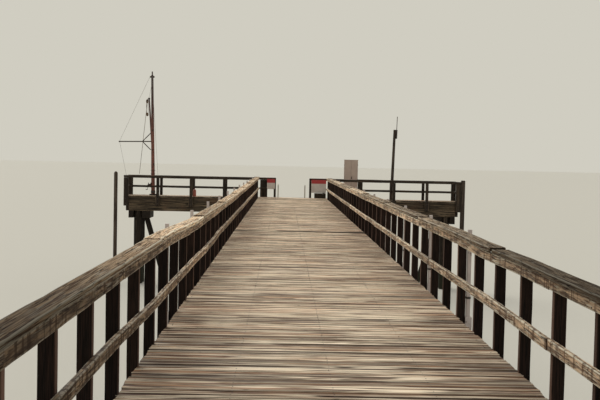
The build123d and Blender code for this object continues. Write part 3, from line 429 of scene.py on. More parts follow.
# %% One function for every timber
def timber_finish(name, dark, mid, pale, roughness=0.75, gloss=0.4, bump=0.6, streak=(1.2, 0.03), checks=0.6,
                  wear=0.5, wear_length=0.4, tone_span=0.5, bands=0.0, combed=None, russet=0.0,
                  trodden=False, lichen=0.0, drips=0.0, damp_below=None, flank=0.0, lit_inner=0.0,
                  far_sheen=None):
    """A weathered timber: grain between dark and mid, arrises worn to pale, and what rain leaves on it."""
    finish, tree, shader, relief_bump = start_finish(name, roughness, bump, bump_height, gloss)
    place = measure(tree, "grain_at", "Vector")
    spot = node(tree, "TexCoord").outputs["Object"]
    across_deck, out_along, height = node(tree, "SeparateXYZ", {0: spot}).outputs
    grain = use_group(tree, "Grain", {"Place": place, "Streak Length": streak[0],
                                      "Streak Width": streak[1], "Check Share": checks})
    colour = blend(tree, grain["Streak"], dark, mid)
    colour = lay_over(tree, colour, grain["Fibre"], fibre_strength, pale)
    if bands:
        band = window(tree, stretched_noise(tree, place, band_size, 3.0, 0.6), *band_contrast)
        colour = lay_over(tree, colour, band, bands, dark)
    relief = grain["Relief"]
    if combed:
        colour, relief, ridge = comb(tree, place, colour, relief, dark, pale, combed)
    if russet:
        stain = mask_of(tree, "Blotches", spot, share=russet, **russet_patch)
        colour = lay_over(tree, colour, stain, stain_strength, russet_stain)
    if trodden:
        path = maths(tree, "ABSOLUTE", maths(tree, "SUBTRACT", across_deck, middle_line))
        patchy = mask_of(tree, "Blotches", spot, **scuff_and_glint_patch)
        scuffed = maths(tree, "MULTIPLY", window(tree, path, path_edge, path_core), patchy)
        colour = lay_over(tree, colour, scuffed, scuff_strength, pale)
    worn = mask_of(tree, "Wear", place, arris=measure(tree, "arris"), amount=wear, patch_length=wear_length)
    colour = lay_over(tree, colour, worn, wear_strength, pale)
    if lichen:
        crust = mask_of(tree, "Blotches", spot, share=lichen, **crust_patch)
        colour = lay_over(tree, colour, crust, crust_strength, lichen_crust)
    if drips:
        tongues = mask_of(tree, "Drips", spot, share=drips)
        colour = lay_over(tree, colour, tongues, drip_strength, dark)
    colour = blend(tree, grain["Check"], colour, check_shadow)
    end_grain = window(tree, measure(tree, "arris"), *end_grain_edges)
    colour = lay_over(tree, colour, end_grain, end_grain_strength, end_grain_dark)
    if damp_below is not None:
        uneven = maths(tree, "MULTIPLY", stretched_noise(tree, spot, damp_wave), damp_play)
        damp = window(tree, maths(tree, "ADD", height, uneven), damp_below + damp_softness, damp_below)
        colour = lay_over(tree, colour, damp, damp_strength, damp_green)
    if flank or lit_inner:
        colour = shade_sides(tree, colour, across_deck, flank, lit_inner)
    # Each piece has its own tone. The whole is painted darker towards the shore and paler farther out, a
    # painted sheen of the bright sky where the view grazes the timber
    shade = maths(tree, "ADD", maths(tree, "MULTIPLY", measure(tree, "tone"), tone_span), 1.0 - tone_span / 2)
    if trodden:
        border = window(tree, path, border_edge, border_core, border_shade, 1.0)
        shade = maths(tree, "MULTIPLY", shade, border)
    if far_sheen:
        by_shore, reach = far_sheen
        sheen_factor = window(tree, out_along, landward_edge, landward_edge + reach, by_shore, 1.0)
        shade = maths(tree, "MULTIPLY", shade, sheen_factor)
    colour = node(tree, "HueSaturation", {"Color": colour, "Value": shade}).outputs[0]
    # Painted glints, laid over after the shade so that they stay bright
    if trodden:
        colour = blend(tree, gleam(tree, place, path, ridge, patchy), colour, pale)
    tree.links.new(colour, shader.inputs["Base Color"])
    rough = maths(tree, "MULTIPLY", grain["Streak"], rough_play)
    rough = maths(tree, "ADD", rough, roughness - rough_play / 2)
    tree.links.new(rough, shader.inputs["Roughness"])
    tree.links.new(relief, relief_bump.inputs["Height"])
    return finish


print(timber_finish.__name__, "is ready for every timber")

# %% Deck, rail and cap finishes
rail_weather = {"streak": (0.35, 0.03), "checks": 0.8, "wear": 0.7, "wear_length": 0.25, "lichen": 0.3,
                "gloss": 0.1, "bands": 0.35}
cap_weather = {"roughness": 0.85, "streak": (0.5, 0.012), "checks": 0.9, "wear_length": 0.25, "gloss": 0.02}
finishes = {
    "deck_boards": timber_finish(
        "trodden_boards", tint(74, 43, 28), tint(222, 173, 133), tint(255, 236, 206), roughness=0.68,
        gloss=0.1, bump=0.9, streak=(0.9, 0.028), checks=0.5, wear=0.6, wear_length=0.5, tone_span=1.2,
        bands=0.5, combed=(1.2, 0.055, 0.6, 0.52), russet=0.5, trodden=True, flank=0.9,
        far_sheen=(0.7, 24.0)),
    "left_rails": timber_finish(
        "left_rails", tint(88, 61, 43), tint(240, 204, 164), tint(255, 240, 214), tone_span=0.8,
        combed=(0.16, 0.014, 0.5, 0.35), drips=0.7, far_sheen=(0.25, 10.5), **rail_weather),
    "right_rails": timber_finish(
        "right_rails", tint(102, 73, 53), tint(254, 218, 178), tint(255, 246, 220), tone_span=0.7,
        combed=(0.16, 0.014, 0.45, 0.35), drips=0.65, far_sheen=(0.49, 17.0), **rail_weather),
    "left_cap": timber_finish(
        "left_cap", tint(110, 74, 50), tint(250, 215, 172), tint(255, 244, 218), wear=0.9, tone_span=0.8,
        bands=0.2, combed=(0.3, 0.009, 0.4, 0.42), lichen=0.15, far_sheen=(0.17, 7.5), **cap_weather),
    "right_cap": timber_finish(
        "right_cap", tint(88, 65, 49), tint(248, 218, 180), tint(255, 244, 220), wear=0.6, tone_span=0.7,
        bands=0.5, combed=(0.3, 0.009, 0.5, 0.3), lichen=0.2, far_sheen=(0.135, 19.5), **cap_weather),
}
print(len(finishes), "bleached finishes")

# %% Tarred and bare finishes
round_weather = {"roughness": 0.78, "gloss": 0.15, "bump": 0.9, "streak": (1.1, 0.03), "wear": 0.35}
finishes.update({
    "post_timber": timber_finish(
        "tarred_posts", tint(13, 10, 8), tint(31, 22, 18), tint(76, 56, 47), roughness=0.78, gloss=0.1,
        streak=(0.6, 0.018), checks=0.5, wear=0.35, wear_length=0.3, tone_span=0.9, lit_inner=0.45),
    "dark_timber": timber_finish(
        "tarred_timber", tint(22, 19, 15), tint(56, 46, 37), tint(108, 92, 74), gloss=0.2,
        streak=(1.4, 0.05), wear=0.45, wear_length=0.5, tone_span=0.7, bands=0.6,
        combed=(1.2, 0.03, 0.4, 0.2)),
    "fascia_timber": timber_finish(
        "tarred_fascias", tint(28, 24, 19), tint(90, 77, 62), tint(146, 126, 100), gloss=0.15,
        streak=(1.2, 0.05), checks=0.7, wear_length=0.5, tone_span=0.6, bands=0.6, russet=0.5,
        combed=(1.2, 0.03, 0.45, 0.3)),
    "pile_timber": timber_finish(
        "tarred_piles", tint(16, 14, 12), tint(46, 38, 31), tint(92, 80, 66), checks=0.7, damp_below=1.1,
        combed=(0.9, 0.02, 0.45, 0.25), **round_weather),
    "pole_timber": timber_finish(
        "bare_poles", tint(44, 37, 31), tint(84, 72, 62), tint(132, 118, 102), checks=0.8, tone_span=0.3,
        damp_below=0.9, combed=(0.9, 0.02, 0.45, 0.3), **round_weather),
})
print(len(finishes), "timber finishes")

# %% [markdown]
# ## Cutting a worn timber
#
# A worn board could be a cube with a Bevel and a Displace modifier, but a thousand modifiers are slow and
# the wear would look the same on every face. Here each board is drawn as a ring of section points that is
# carried along its length: every arris wanders inward by its own few millimetres, the wide face cups, the
# ends are a little skewed, and the whole board may bow. Wear only takes wood away, so a board is never
# larger than the sound timber that the caller asks for.

# %% Rings and drifts
wear_reach = 0.012


def ring_points(ease, wide_middles, reach=wear_reach, plain_below=False):
    """Section points: share across, inset across, share up, inset up and arris, right round the section."""
    inner = ease + reach
    spread = [2 * (number + 1) / (wide_middles + 1) - 1 for number in range(wide_middles)]
    top = [(1, ease, 1, 0, 1), (1, inner, 1, 0, 0)]
    top = top + [(share, 0, 1, 0, 0) for share in reversed(spread)]
    top = top + [(-1, inner, 1, 0, 0), (-1, ease, 1, 0, 1)]
    if plain_below:
        bottom = [(-1, 0, -1, 0, 0), (1, 0, -1, 0, 0)]
        right = [(1, 0, 1, inner, 0), (1, 0, 1, ease, 1)]
        left = [(-1, 0, 1, ease, 1), (-1, 0, 1, inner, 0)]
    else:
        bottom = [(-1, ease, -1, 0, 1), (-1, inner, -1, 0, 0), (1, inner, -1, 0, 0), (1, ease, -1, 0, 1)]
        right = [(1, 0, -1, ease, 1), (1, 0, -1, inner, 0), (1, 0, 1, inner, 0), (1, 0, 1, ease, 1)]
        left = [(-1, 0, 1, ease, 1), (-1, 0, 1, inner, 0), (-1, 0, -1, inner, 0), (-1, 0, -1, ease, 1)]
    return np.array(bottom + right + top + left, float)


def drift(rng, at, step, size):
    """A wandering line along a timber: a random height every step, joined up."""
    knots = np.arange(0, at[-1] + step, step)
    return np.interp(at, knots, rng.normal(0, size, len(knots)))


def ring_faces(stations, around):
    """Quads between rings of points, and one flat face on each end."""
    start = np.arange(stations - 1)[:, None] * around + np.arange(around)[None, :]
    after = np.arange(stations - 1)[:, None] * around + (np.arange(around)[None, :] + 1) % around
    quads = np.stack([start, after, after + around, start + around], -1).reshape(-1, 4)
    first = list(range(around - 1, -1, -1))
    last = list(range((stations - 1) * around, stations * around))
    return quads.tolist() + [first, last]


print("a sawn board's section has", len(ring_points(0.004, 3)), "points")

# %% One worn board
skew_fades_by = 0.15


def cut_board(rng, length, width, depth, look, start_shift=(0, 0), end_shift=(0, 0)):
    """One worn board along x, centred across y and z: its points, faces and arris measures."""
    ease = look["ease"]
    ring = ring_points(ease, look["middles"], look.get("reach", wear_reach), look.get("plain_below", False))
    count = max(2, round(length / look["pace"]))
    at = np.unique(np.concatenate([np.linspace(0, length, count + 1), [ease, length - ease]]))
    share_y, inset_y, share_z, inset_z, arris = ring.T
    # Each side and face wanders inward along the board
    chip = look["chip"]
    side = {turn: -np.abs(drift(rng, at, look["pace"] * 2, chip)) for turn in (-1, 1)}
    face = {turn: -np.abs(drift(rng, at, look["pace"] * 3, chip * 0.6)) for turn in (-1, 1)}
    y = share_y * width / 2 - np.sign(share_y) * inset_y
    z = share_z * depth / 2 - np.sign(share_z) * inset_z
    y = y[None, :] + np.where(share_y > 0, side[1][:, None], -side[-1][:, None]) * np.abs(share_y)
    z = z[None, :] + np.where(share_z > 0, face[1][:, None], -face[-1][:, None]) * np.abs(share_z)
    # The top face dries hollow, and the end rings are drawn in by the eased arris
    cup = look["cup"] * rng.uniform(0.2, 1.0)
    z = z - np.where(share_z > 0.9, cup * (1 - share_y ** 2), 0)[None, :]
    shrink = np.ones(len(at))
    shrink[[0, -1]] = 1 - 2 * ease / min(width, depth)
    y, z = y * shrink[:, None], z * shrink[:, None]
    # The grain runs with the board as it was sawn, before it bows and before its ends shift
    share = (at / length)[:, None]
    bow = 4 * share * (1 - share)
    grain = np.stack([np.broadcast_to(at[:, None], y.shape), y, z], -1)
    y = y + rng.normal(0, look["bow"]) * bow + start_shift[0] * (1 - share) + end_shift[0] * share
    z = z - abs(rng.normal(0, look["bow"] / 2)) * bow + start_shift[1] * (1 - share) + end_shift[1] * share
    # The saw cut each end a little askew, and -1 marks the end grain
    fade = np.clip(1 - at / skew_fades_by, 0, 1) * rng.normal(0, look["skew"])
    fade = fade + np.clip(1 - (length - at) / skew_fades_by, 0, 1) * rng.normal(0, look["skew"])
    x = np.clip(at[:, None] + fade[:, None] * share_y[None, :], 0, length)
    points = np.stack([np.broadcast_to(x, y.shape), y, z], -1).reshape(-1, 3)
    edges = np.broadcast_to(arris, y.shape).copy()
    edges[[0, -1]] = -1
    return points, ring_faces(len(at), len(ring)), edges.ravel(), grain.reshape(-1, 3)


print("a board's skew fades by", skew_fades_by, "m from its end")

# %% [markdown]
# ## Stacking boards into one piece
#
# Forty metres of deck need hundreds of boards, and hundreds of objects are slow to draw and to file. The
# stack gathers boards as they are cut, turns each one into its place, and makes a single mesh at the end.
# The three measures go on as point attributes, where the finishes read them.

# %% The stack
axes = {"x": np.array([1.0, 0, 0]), "y": np.array([0, 1.0, 0]), "z": np.array([0, 0, 1.0])}
log_spread = 50
crisp_from = math.radians(34)


class Stack:
    """Boards and poles gathered into one mesh."""

    def __init__(self, seed):
        self.rng = np.random.default_rng(seed)
        self.points, self.faces, self.arris, self.grain, self.tone = [], [], [], [], []
        self.total = 0

    def lay(self, shape, origin, along, up, tone=None):
        """Lay a shape with its length along one direction and its top face towards another."""
        points, faces, arris, grain = shape
        across = np.cross(up, along)
        turned = points @ np.array([along, across, up]) + np.asarray(origin)
        self.points.append(turned)
        self.faces += [[index + self.total for index in face] for face in faces]
        self.arris.append(arris)
        self.grain.append(grain + self.rng.uniform(-log_spread, log_spread, 3))
        self.tone.append(np.full(len(points), self.rng.uniform() if tone is None else tone))
        self.total += len(points)

    def build(self, name, finish, slot, *nodes, body="jetty"):
        """Make the mesh, give it its finish and let it stand for these frame nodes."""
        mesh = bpy.data.meshes.new(name)
        mesh.from_pydata(np.concatenate(self.points), [], self.faces)
        for label, kind, values in (("arris", "FLOAT", self.arris), ("tone", "FLOAT", self.tone),
                                    ("grain_at", "FLOAT_VECTOR", self.grain)):
            layer = mesh.attributes.new(label, kind, "POINT")
            key = "vector" if kind == "FLOAT_VECTOR" else "value"
            layer.data.foreach_set(key, np.concatenate(values).astype(np.float32).ravel())
        mesh.shade_smooth()
        mesh.set_sharp_from_angle(angle=crisp_from)
        mesh.materials.append(finish)
        piece = bpy.data.objects.new(name, mesh)
        bpy.context.scene.collection.objects.link(piece)
        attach(piece, body)
        if nodes:
            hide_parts(*nodes)
        triangles = sum(len(face) - 2 for face in self.faces)
        print(f"{name}: {len(self.points)} parts, {triangles} triangles")


print("all pieces ride on the jetty; the boom keeps the frame's own meshes")

# %% Solids and boxes of the frame
def solids(name):
    """The points of each separate solid of a frame node, in a fixed order."""
    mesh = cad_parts[name].data
    places = np.empty(len(mesh.vertices) * 3)
    mesh.vertices.foreach_get("co", places)
    places = np.round(places.reshape(-1, 3), 5)
    unique, index = np.unique(places, axis=0, return_inverse=True)
    index = index.ravel()
    owner = np.arange(len(unique))

    def root(point):
        while owner[point] != point:
            owner[point] = owner[owner[point]]
            point = owner[point]
        return point

    for face in mesh.polygons:
        corners = [root(index[corner]) for corner in face.vertices]
        for corner in corners[1:]:
            owner[root(corner)] = root(corners[0])
    roots = np.array([root(point) for point in range(len(unique))])
    parts = [unique[roots == own] for own in np.unique(roots)]
    return sorted(parts, key=lambda part: tuple(np.round(part.min(0), 3)))


def boxes(name):
    """The lowest and highest corner of each separate solid of a frame node."""
    return [(part.min(0), part.max(0)) for part in solids(name)]


print("the left rail has", len(boxes("left_rail_posts")), "posts")

# %% [markdown]
# ## Deck boards
#
# The walkway is planked across with 54 boards to a bay, each about 110 mm wide. They have shrunk
# unevenly, so some lie tight and others a finger's width apart. Sun has cupped them, so that each board's
# edges stand a little higher than its middle and catch the light as thin bright lines. The frame holds one
# slab a bay. The boards fill that slab's box, so they lie on the same stringers, and their ends run up to
# a thumb's width past it near the shore and less farther out. Half way out one board stands proud of a
# wide gap, which draws a dark line right across the deck, and the two boards there are painted darkest,
# a painted shade that deepens that line. The head is planked the other way on, in rows of shorter
# boards whose ends are staggered.

# %% Walkway boards
bays = 6
boards_a_bay = 54
deck_gap = 0.008
usual_shrink = 0.004
wide_gap = 0.04
wide_gap_out = 18.6
proud_by = 0.012
deck_look = {"ease": 0.004, "middles": 3, "pace": 0.17, "chip": 0.002, "cup": 0.006, "bow": 0.0015,
             "skew": 0.003, "reach": 0.02, "plain_below": True}
end_reach = (0.028, 0.010)
reach_fades_by = 9.0
end_play = 0.008
height_play = 0.003
usual_tone, tone_play = 0.5, 0.24
board_tops = []
for bay in range(1, bays + 1):
    low, high = boxes(f"walkway_deck_{bay}")[0]
    pitch = (high[1] - low[1] + deck_gap) / boards_a_bay
    stack = Stack(100 + bay)
    rng = stack.rng
    for number in range(boards_a_bay):
        out = low[1] + number * pitch - landward_edge
        reach = float(np.interp(out, (0, reach_fades_by), end_reach))
        start = low[0] - reach + abs(rng.normal(0, end_play))
        length = high[0] + reach - abs(rng.normal(0, end_play)) - start
        width = pitch - abs(rng.normal(usual_shrink, deck_gap))
        depth = high[2] - low[2] - abs(rng.normal(0, height_play))
        tone = np.clip(rng.normal(usual_tone, tone_play), 0, 1)
        # The board before the wide gap and the proud board after it are painted darkest, a painted shade line
        if abs(out - wide_gap_out) < pitch / 2:
            width, tone = pitch - wide_gap, 0
        if abs(out - pitch - wide_gap_out) < pitch / 2:
            depth, tone = high[2] - low[2] + proud_by, 0
        centre = (start, low[1] + number * pitch + width / 2, low[2] + depth / 2)
        stack.lay(cut_board(rng, length, width, depth, deck_look), centre, axes["x"], axes["z"], tone)
        board_tops.append((centre[1], width, low[2] + depth))
    stack.build(f"walkway_boards_{bay}", finishes["deck_boards"], "deck_boards", f"walkway_deck_{bay}")

# %% Head boards
head_rows = 5
head_board_length = 3.76
shortest_board = 0.5
butt_gap = 0.004
low, high = boxes("head_deck")[0]
row_pitch = (high[1] - low[1] + deck_gap) / head_rows
head_stack = Stack(120)
for row in range(head_rows):
    cuts = np.arange(low[0] + (row % 2) * head_board_length / 2, high[0], head_board_length)
    ends = sorted({low[0], *cuts[cuts > low[0] + shortest_board], high[0]})
    for start, end in zip(ends[:-1], ends[1:]):
        depth = high[2] - low[2] - abs(head_stack.rng.normal(0, height_play))
        across = low[1] + row * row_pitch + (row_pitch - deck_gap) / 2
        centre = (start + butt_gap / 2, across, low[2] + depth / 2)
        board = cut_board(head_stack.rng, end - start - butt_gap, row_pitch - deck_gap, depth, deck_look)
        head_stack.lay(board, centre, axes["x"], axes["z"])
head_stack.build("head_boards", finishes["deck_boards"], "deck_boards", "head_deck")

# %% [markdown]
# ## Rails
#
# Each side has three lines of boards: the broad cap that hands slide along, the face board under it and
# the mid rail at knee height. They are nailed up in lengths that meet over the posts, and after years no
# two neighbours line up. The left railing has also settled by half a hand from the second bay on. A
# lattice could bend it, but the droop is only a height for each place along the line, so it is a short
# list of such pairs that every point looks itself up in. Each board's ends add a little of their own.

# %% How the rails have settled
post_lines = sorted((low[1] + high[1]) / 2 for low, high in boxes("left_rail_posts"))
# Each line's droop, as pairs of metres out from the shore end and metres up. A cap lies on its face board.
left_top = ((0, 0.012), (6, 0.008), (8.8, -0.05), (12, -0.056), (17, -0.062), (27, -0.035), (36, 0))
right_top = ((0, -0.015), (3, -0.015), (4.2, -0.008), (5.5, -0.02), (7, 0), (12, -0.01), (36, 0))
settled = {
    "left_cap": left_top,
    "left_face": left_top,
    "left_mid": ((0, 0), (2.9, 0), (4.8, -0.034), (8.4, -0.034), (10.2, -0.055), (11.6, -0.05), (13, -0.03),
                 (30, -0.02), (36, 0)),
    "right_cap": right_top,
    "right_face": right_top,
    "right_mid": ((0, -0.01), (3.4, -0.012), (5.2, 0.004), (7.1, -0.012), (12, -0.02), (36, 0)),
}


def droop(line, places):
    """How far a rail line has risen or dropped at some places along the walkway."""
    out, rise = np.array(settled[line]).T
    return np.interp(np.asarray(places) - landward_edge, out, rise)


print("lowest dip of the left cap", min(rise for out, rise in left_top), "m")

# %% Rail boards
rail_look = {"ease": 0.004, "middles": 1, "pace": 0.16, "chip": 0.0018, "cup": 0.0, "bow": 0.003,
             "skew": 0.004}
cap_look = dict(rail_look, middles=3, cup=0.004, chip=0.003)
cap_lift = 0.009


def rail_line(line, seed, look, finish, laid_flat, inward, posts_a_board, gap, play):
    """Cut one line of rail boards that meet over posts, each a little off its neighbour.

    Every cap board but the first has its near end on the one before, so it stands a little higher there.
    """
    stack = Stack(seed)
    rng = stack.rng
    runs = np.array(boxes(f"{line}_rails"))
    low, high = runs[:, 0].min(0), runs[:, 1].max(0)
    marks = [low[1]]
    post = int(rng.integers(*posts_a_board))
    while post < len(post_lines) - 1:
        marks.append(post_lines[post])
        post += int(rng.integers(*posts_a_board))
    marks.append(high[1])
    width, depth = high[0] - low[0], high[2] - low[2]
    for start, end in zip(marks[:-1], marks[1:]):
        origin = ((low[0] + high[0]) / 2, start + gap / 2, (low[2] + high[2]) / 2)
        first, last = rng.normal(0, play, 2), rng.normal(0, play, 2)
        if laid_flat:
            first[1] = cap_lift + abs(first[1]) if start > low[1] else 0
            shape = cut_board(rng, end - start - gap, width, depth, look, first, last)
            stack.lay(shape, origin, axes["y"], axes["z"])
        else:
            first[1], last[1] = abs(first[1]), abs(last[1])
            shape = cut_board(rng, end - start - gap, depth, width, look, first, last)
            stack.lay(shape, origin, axes["y"], axes["x"] * inward)
        placed = stack.points[-1]
        placed[:, 2] += droop(line, placed[:, 1])
    stack.build(f"{line}_boards", finish, "rail_timber", f"{line}_rails")


for number, (hand, inward) in enumerate((("left", 1), ("right", -1))):
    rail_line(f"{hand}_cap", 200 + number, cap_look, finishes[f"{hand}_cap"], laid_flat=True,
              inward=inward, posts_a_board=(5, 6), gap=0.014, play=0.006)
    rail_line(f"{hand}_face", 210 + number, rail_look, finishes[f"{hand}_rails"], laid_flat=False,
              inward=inward, posts_a_board=(3, 6), gap=0.008, play=0.003)
    rail_line(f"{hand}_mid", 220 + number, rail_look, finishes[f"{hand}_rails"], laid_flat=False,
              inward=inward, posts_a_board=(2, 5), gap=0.008, play=0.004)

# %% [markdown]
# ## Posts and structural timbers
#
# Everything else that was sawn square is cut by the same saw: posts, stringers, caps, fascias, joists and
# the head's rails. Each one stands in for a box of the frame. The length runs along the box's longest
# side unless it is said otherwise, and the size of the worn arris follows the size of the timber. Rail
# posts are cut 3 mm fuller on each side, because their worn arrises make them look thinner than they are,
# and their tops go down with the caps.

# %% Square timbers
def dress_boxes(name, seed, finish, slot, *nodes, along=None, look=None, adjust=None):
    """Cut a worn timber inside each box of these frame nodes."""
    stack = Stack(seed)
    base = {"ease": 0.005, "middles": 1, "pace": 0.4, "chip": 0.0025, "cup": 0.0, "bow": 0.0, "skew": 0.003}
    base.update(look or {})
    swell = 2 * base.get("swell", 0.0)
    for node_name in nodes:
        for low, high in boxes(node_name):
            size = high - low
            lead = "xyz".index(along) if along else int(np.argmax(size))
            top, other = sorted((axis for axis in range(3) if axis != lead), key=lambda axis: size[axis])
            origin = (low + high) / 2
            origin[lead] = low[lead]
            shape = cut_board(stack.rng, size[lead], size[other] + swell, size[top] + swell, base)
            stack.lay(shape, origin, axes["xyz"[lead]], axes["xyz"[top]])
            if adjust:
                adjust(stack.points[-1])
    stack.build(name, finish, slot, *nodes)


print(dress_boxes.__name__, "is ready")

# %% Rail posts
cap_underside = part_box("left_rail_posts")[1].z
post_look = {"ease": 0.004, "pace": 0.17, "chip": 0.0015, "swell": 0.003}


def sink_posts(line, points):
    """Lower the tops of posts where the cap over them has settled."""
    height = np.clip((points[:, 2] - deck_level) / (cap_underside - deck_level), 0, 1)
    points[:, 2] += droop(line, points[:, 1]) * height


for number, hand in enumerate(("left", "right")):
    dress_boxes(f"{hand}_posts", 300 + number, finishes["post_timber"], "post_timber",
                f"{hand}_rail_posts", along="z", look=post_look,
                adjust=lambda points, line=f"{hand}_cap": sink_posts(line, points))

# %% Structural timbers
beam_look = {"ease": 0.008, "pace": 0.5, "chip": 0.004}
tarred = finishes["dark_timber"]
fascia = finishes["fascia_timber"]
for name, seed, finish, nodes in (
        ("stringer_timbers", 310, tarred, ("outer_stringers", "inner_stringers")),
        ("near_fascia_boards", 311, fascia, ("near_fascia",)),
        ("far_fascia_boards", 312, fascia, ("far_fascia",)),
        ("end_fascia_boards", 313, fascia, ("end_fascias",)),
        ("joist_timbers", 314, tarred, ("head_joists",)),
        ("head_stringer_timbers", 315, tarred, ("head_stringers",)),
        ("head_cap_timbers", 316, tarred, ("head_caps",))):
    dress_boxes(name, seed, finish, "dark_timber", *nodes, look=beam_look)

# %% Posts and rails of the head
# The landward posts of the head stand in heavier blocks below the deck, so each is cut as two timbers
level_slack = 0.001
clear_of_deck = 0.01
post_rounding, block_rounding = 0.005, 0.03
head_post_stack = Stack(317)
for part in solids("head_rail_posts"):
    shaft = part[part[:, 2] > deck_level + clear_of_deck]
    pairs = [(np.append(shaft.min(0)[:2], part[:, 2].min()), shaft.max(0))]
    if np.ptp(part[:, 0]) > np.ptp(shaft[:, 0]) + clear_of_deck:
        below = part[part[:, 2] < deck_level + level_slack]
        pairs.append((below.min(0), below.max(0)))
    for low, high in pairs:
        size = high - low
        top = 0 if size[0] < size[1] else 1
        rounding = post_rounding if high[2] > deck_level + clear_of_deck else block_rounding
        look = dict(post_look, middles=1, cup=0.0, bow=0.0, skew=0.0, ease=rounding)
        origin = (*((low + high) / 2)[:2], low[2])
        head_post_stack.lay(cut_board(head_post_stack.rng, size[2], size[1 - top], size[top], look),
                            origin, axes["z"], axes["xy"[top]])
head_post_stack.build("head_posts", tarred, "dark_timber", "head_rail_posts")
dress_boxes("head_rail_boards", 318, tarred, "dark_timber", "head_top_rails", "head_mid_rails",
            "head_end_rails", look={"ease": 0.006, "pace": 0.3, "chip": 0.004})

# %% [markdown]
# ## Bent caps and braces
#
# The pairs of cap timbers have their lower corners sawn off at the ends, and the braces cross a bent at a
# slant, so a plain box won't hold them. A cap is cut as a board whose underside rises near its ends. A
# brace's direction is read from the frame's own solid: the long edge of its four-sided face.

# %% Caps of the bents
cap_clip = 0.08
bent_cap_look = {"ease": 0.008, "middles": 1, "pace": 0.42, "chip": 0.004, "cup": 0.0, "bow": 0.0,
                 "skew": 0.0}
cap_stack = Stack(330)
for low, high in boxes("walkway_caps"):
    size = high - low
    points, *rest = cut_board(cap_stack.rng, size[0], size[1], size[2], bent_cap_look)
    from_end = np.minimum(points[:, 0], size[0] - points[:, 0])
    points[:, 2] += np.clip(cap_clip - from_end, 0, cap_clip) * (0.5 - points[:, 2] / size[2])
    origin = (low[0], *((low + high) / 2)[1:])
    cap_stack.lay((points, *rest), origin, axes["x"], axes["z"])
cap_stack.build("bent_cap_timbers", tarred, "dark_timber", "walkway_caps")

# %% Braces
brace_look = dict(bent_cap_look, pace=0.3, skew=0.004)
brace_stack = Stack(331)
for part in solids("walkway_braces"):
    flat = part[part[:, 1] < part[:, 1].mean()][:, [0, 2]]
    gaps = np.linalg.norm(flat[:, None] - flat[None, :], axis=-1)
    near = flat[np.argsort(gaps[0])]
    long_edge, depth = near[2] - near[0], np.linalg.norm(near[1] - near[0])
    length = np.linalg.norm(long_edge)
    direction = np.array([long_edge[0], 0, long_edge[1]]) / length
    shape = cut_board(brace_stack.rng, length, depth, np.ptp(part[:, 1]), brace_look)
    brace_stack.lay(shape, part.mean(0) - direction * length / 2, direction, axes["y"])
brace_stack.build("brace_timbers", tarred, "dark_timber", "walkway_braces")

# %% [markdown]
# ## Piles and poles
#
# A pile is a tree trunk: not quite round, a little swollen here and there, and split by a few long drying
# checks. A cylinder would look turned, so each pole is lofted from rings whose radius wanders both round
# the trunk and along it. Where a pair of caps clasps the head, its sides are sawn flat: points that stand
# past the flat are pushed back onto it.

# %% Round timbers
pole_sides = 26
pole_pace = 0.25
out_of_round = 0.012
end_chamfer, end_girth = 0.006, 0.97
bark_marks = 0.006
lobes = (2, 3, 5, 7)
twist, twist_every = 0.8, 1.5


def cut_pole(rng, length, girth, marks=()):
    """One round timber along x: its points, faces and arris measures. Marks add rings at set places."""
    count = max(2, round(length / pole_pace))
    ends = [end_chamfer, length - end_chamfer]
    at = np.unique(np.concatenate([np.linspace(0, length, count + 1), ends, *marks]))
    angle = np.linspace(0, 2 * math.pi, pole_sides, endpoint=False)
    waves = np.zeros((len(at), pole_sides))
    for turns in lobes:
        phase = drift(rng, at, twist_every, twist)[:, None]
        waves += np.sin(turns * angle[None, :] + phase + rng.uniform(0, 7)) * rng.uniform(0.2, 1) / turns
    waves -= waves.max()
    radius = girth * (1 + out_of_round * waves) - np.abs(rng.normal(0, girth * bark_marks, waves.shape))
    radius[[0, -1]] *= end_girth
    x = np.broadcast_to(at[:, None], radius.shape)
    points = np.stack([x, radius * np.cos(angle), radius * np.sin(angle)], -1).reshape(-1, 3)
    arris = np.zeros(radius.shape)
    arris[[0, 1, -2, -1]] = [[-1], [1], [1], [-1]]
    return points, ring_faces(len(at), pole_sides), arris.ravel(), points.copy()


print("a pole wanders", out_of_round * 100, "per cent out of round")

# %% Piles that the caps clasp
shoulder_step = 0.001


def dress_piles(name, seed, node_name, cap_name, flat_axis):
    """Upright piles with flats at the head for the caps that clasp them."""
    stack = Stack(seed)
    caps = boxes(cap_name)
    cap_low = min(low[2] for low, high in caps)
    for low, high in boxes(node_name):
        centre = (low + high) / 2
        shoulder = cap_low - low[2]
        shape = cut_pole(stack.rng, high[2] - low[2], (high[0] - low[0]) / 2,
                         ([shoulder, shoulder + shoulder_step],))
        stack.lay(shape, (centre[0], centre[1], low[2]), axes["z"], axes["x"])
        placed = stack.points[-1]
        gap = min(abs(corner[flat_axis] - centre[flat_axis]) for cap in caps for corner in cap)
        upper = placed[:, 2] > cap_low + shoulder_step / 2
        offset = placed[upper, flat_axis] - centre[flat_axis]
        placed[upper, flat_axis] = centre[flat_axis] + np.clip(offset, -gap, gap)
    stack.build(name, finishes["pile_timber"], "pile_timber", node_name)


dress_piles("bent_piles", 340, "walkway_piles", "walkway_caps", 1)
dress_piles("platform_piles", 341, "head_piles", "head_caps", 0)

# %% [markdown]
# ## Raking piles, guard piles and the light pole
#
# These are round too, but they lean, taper or end in a point. Their own solids say how: the axis is the
# direction in which the solid is longest, and the widest point at each level along it is the radius there.
# A pole lofted over that outline keeps the taper and the point, and its ends are sawn off level again.

# %% Poles over their own outline
same_level = 0.002


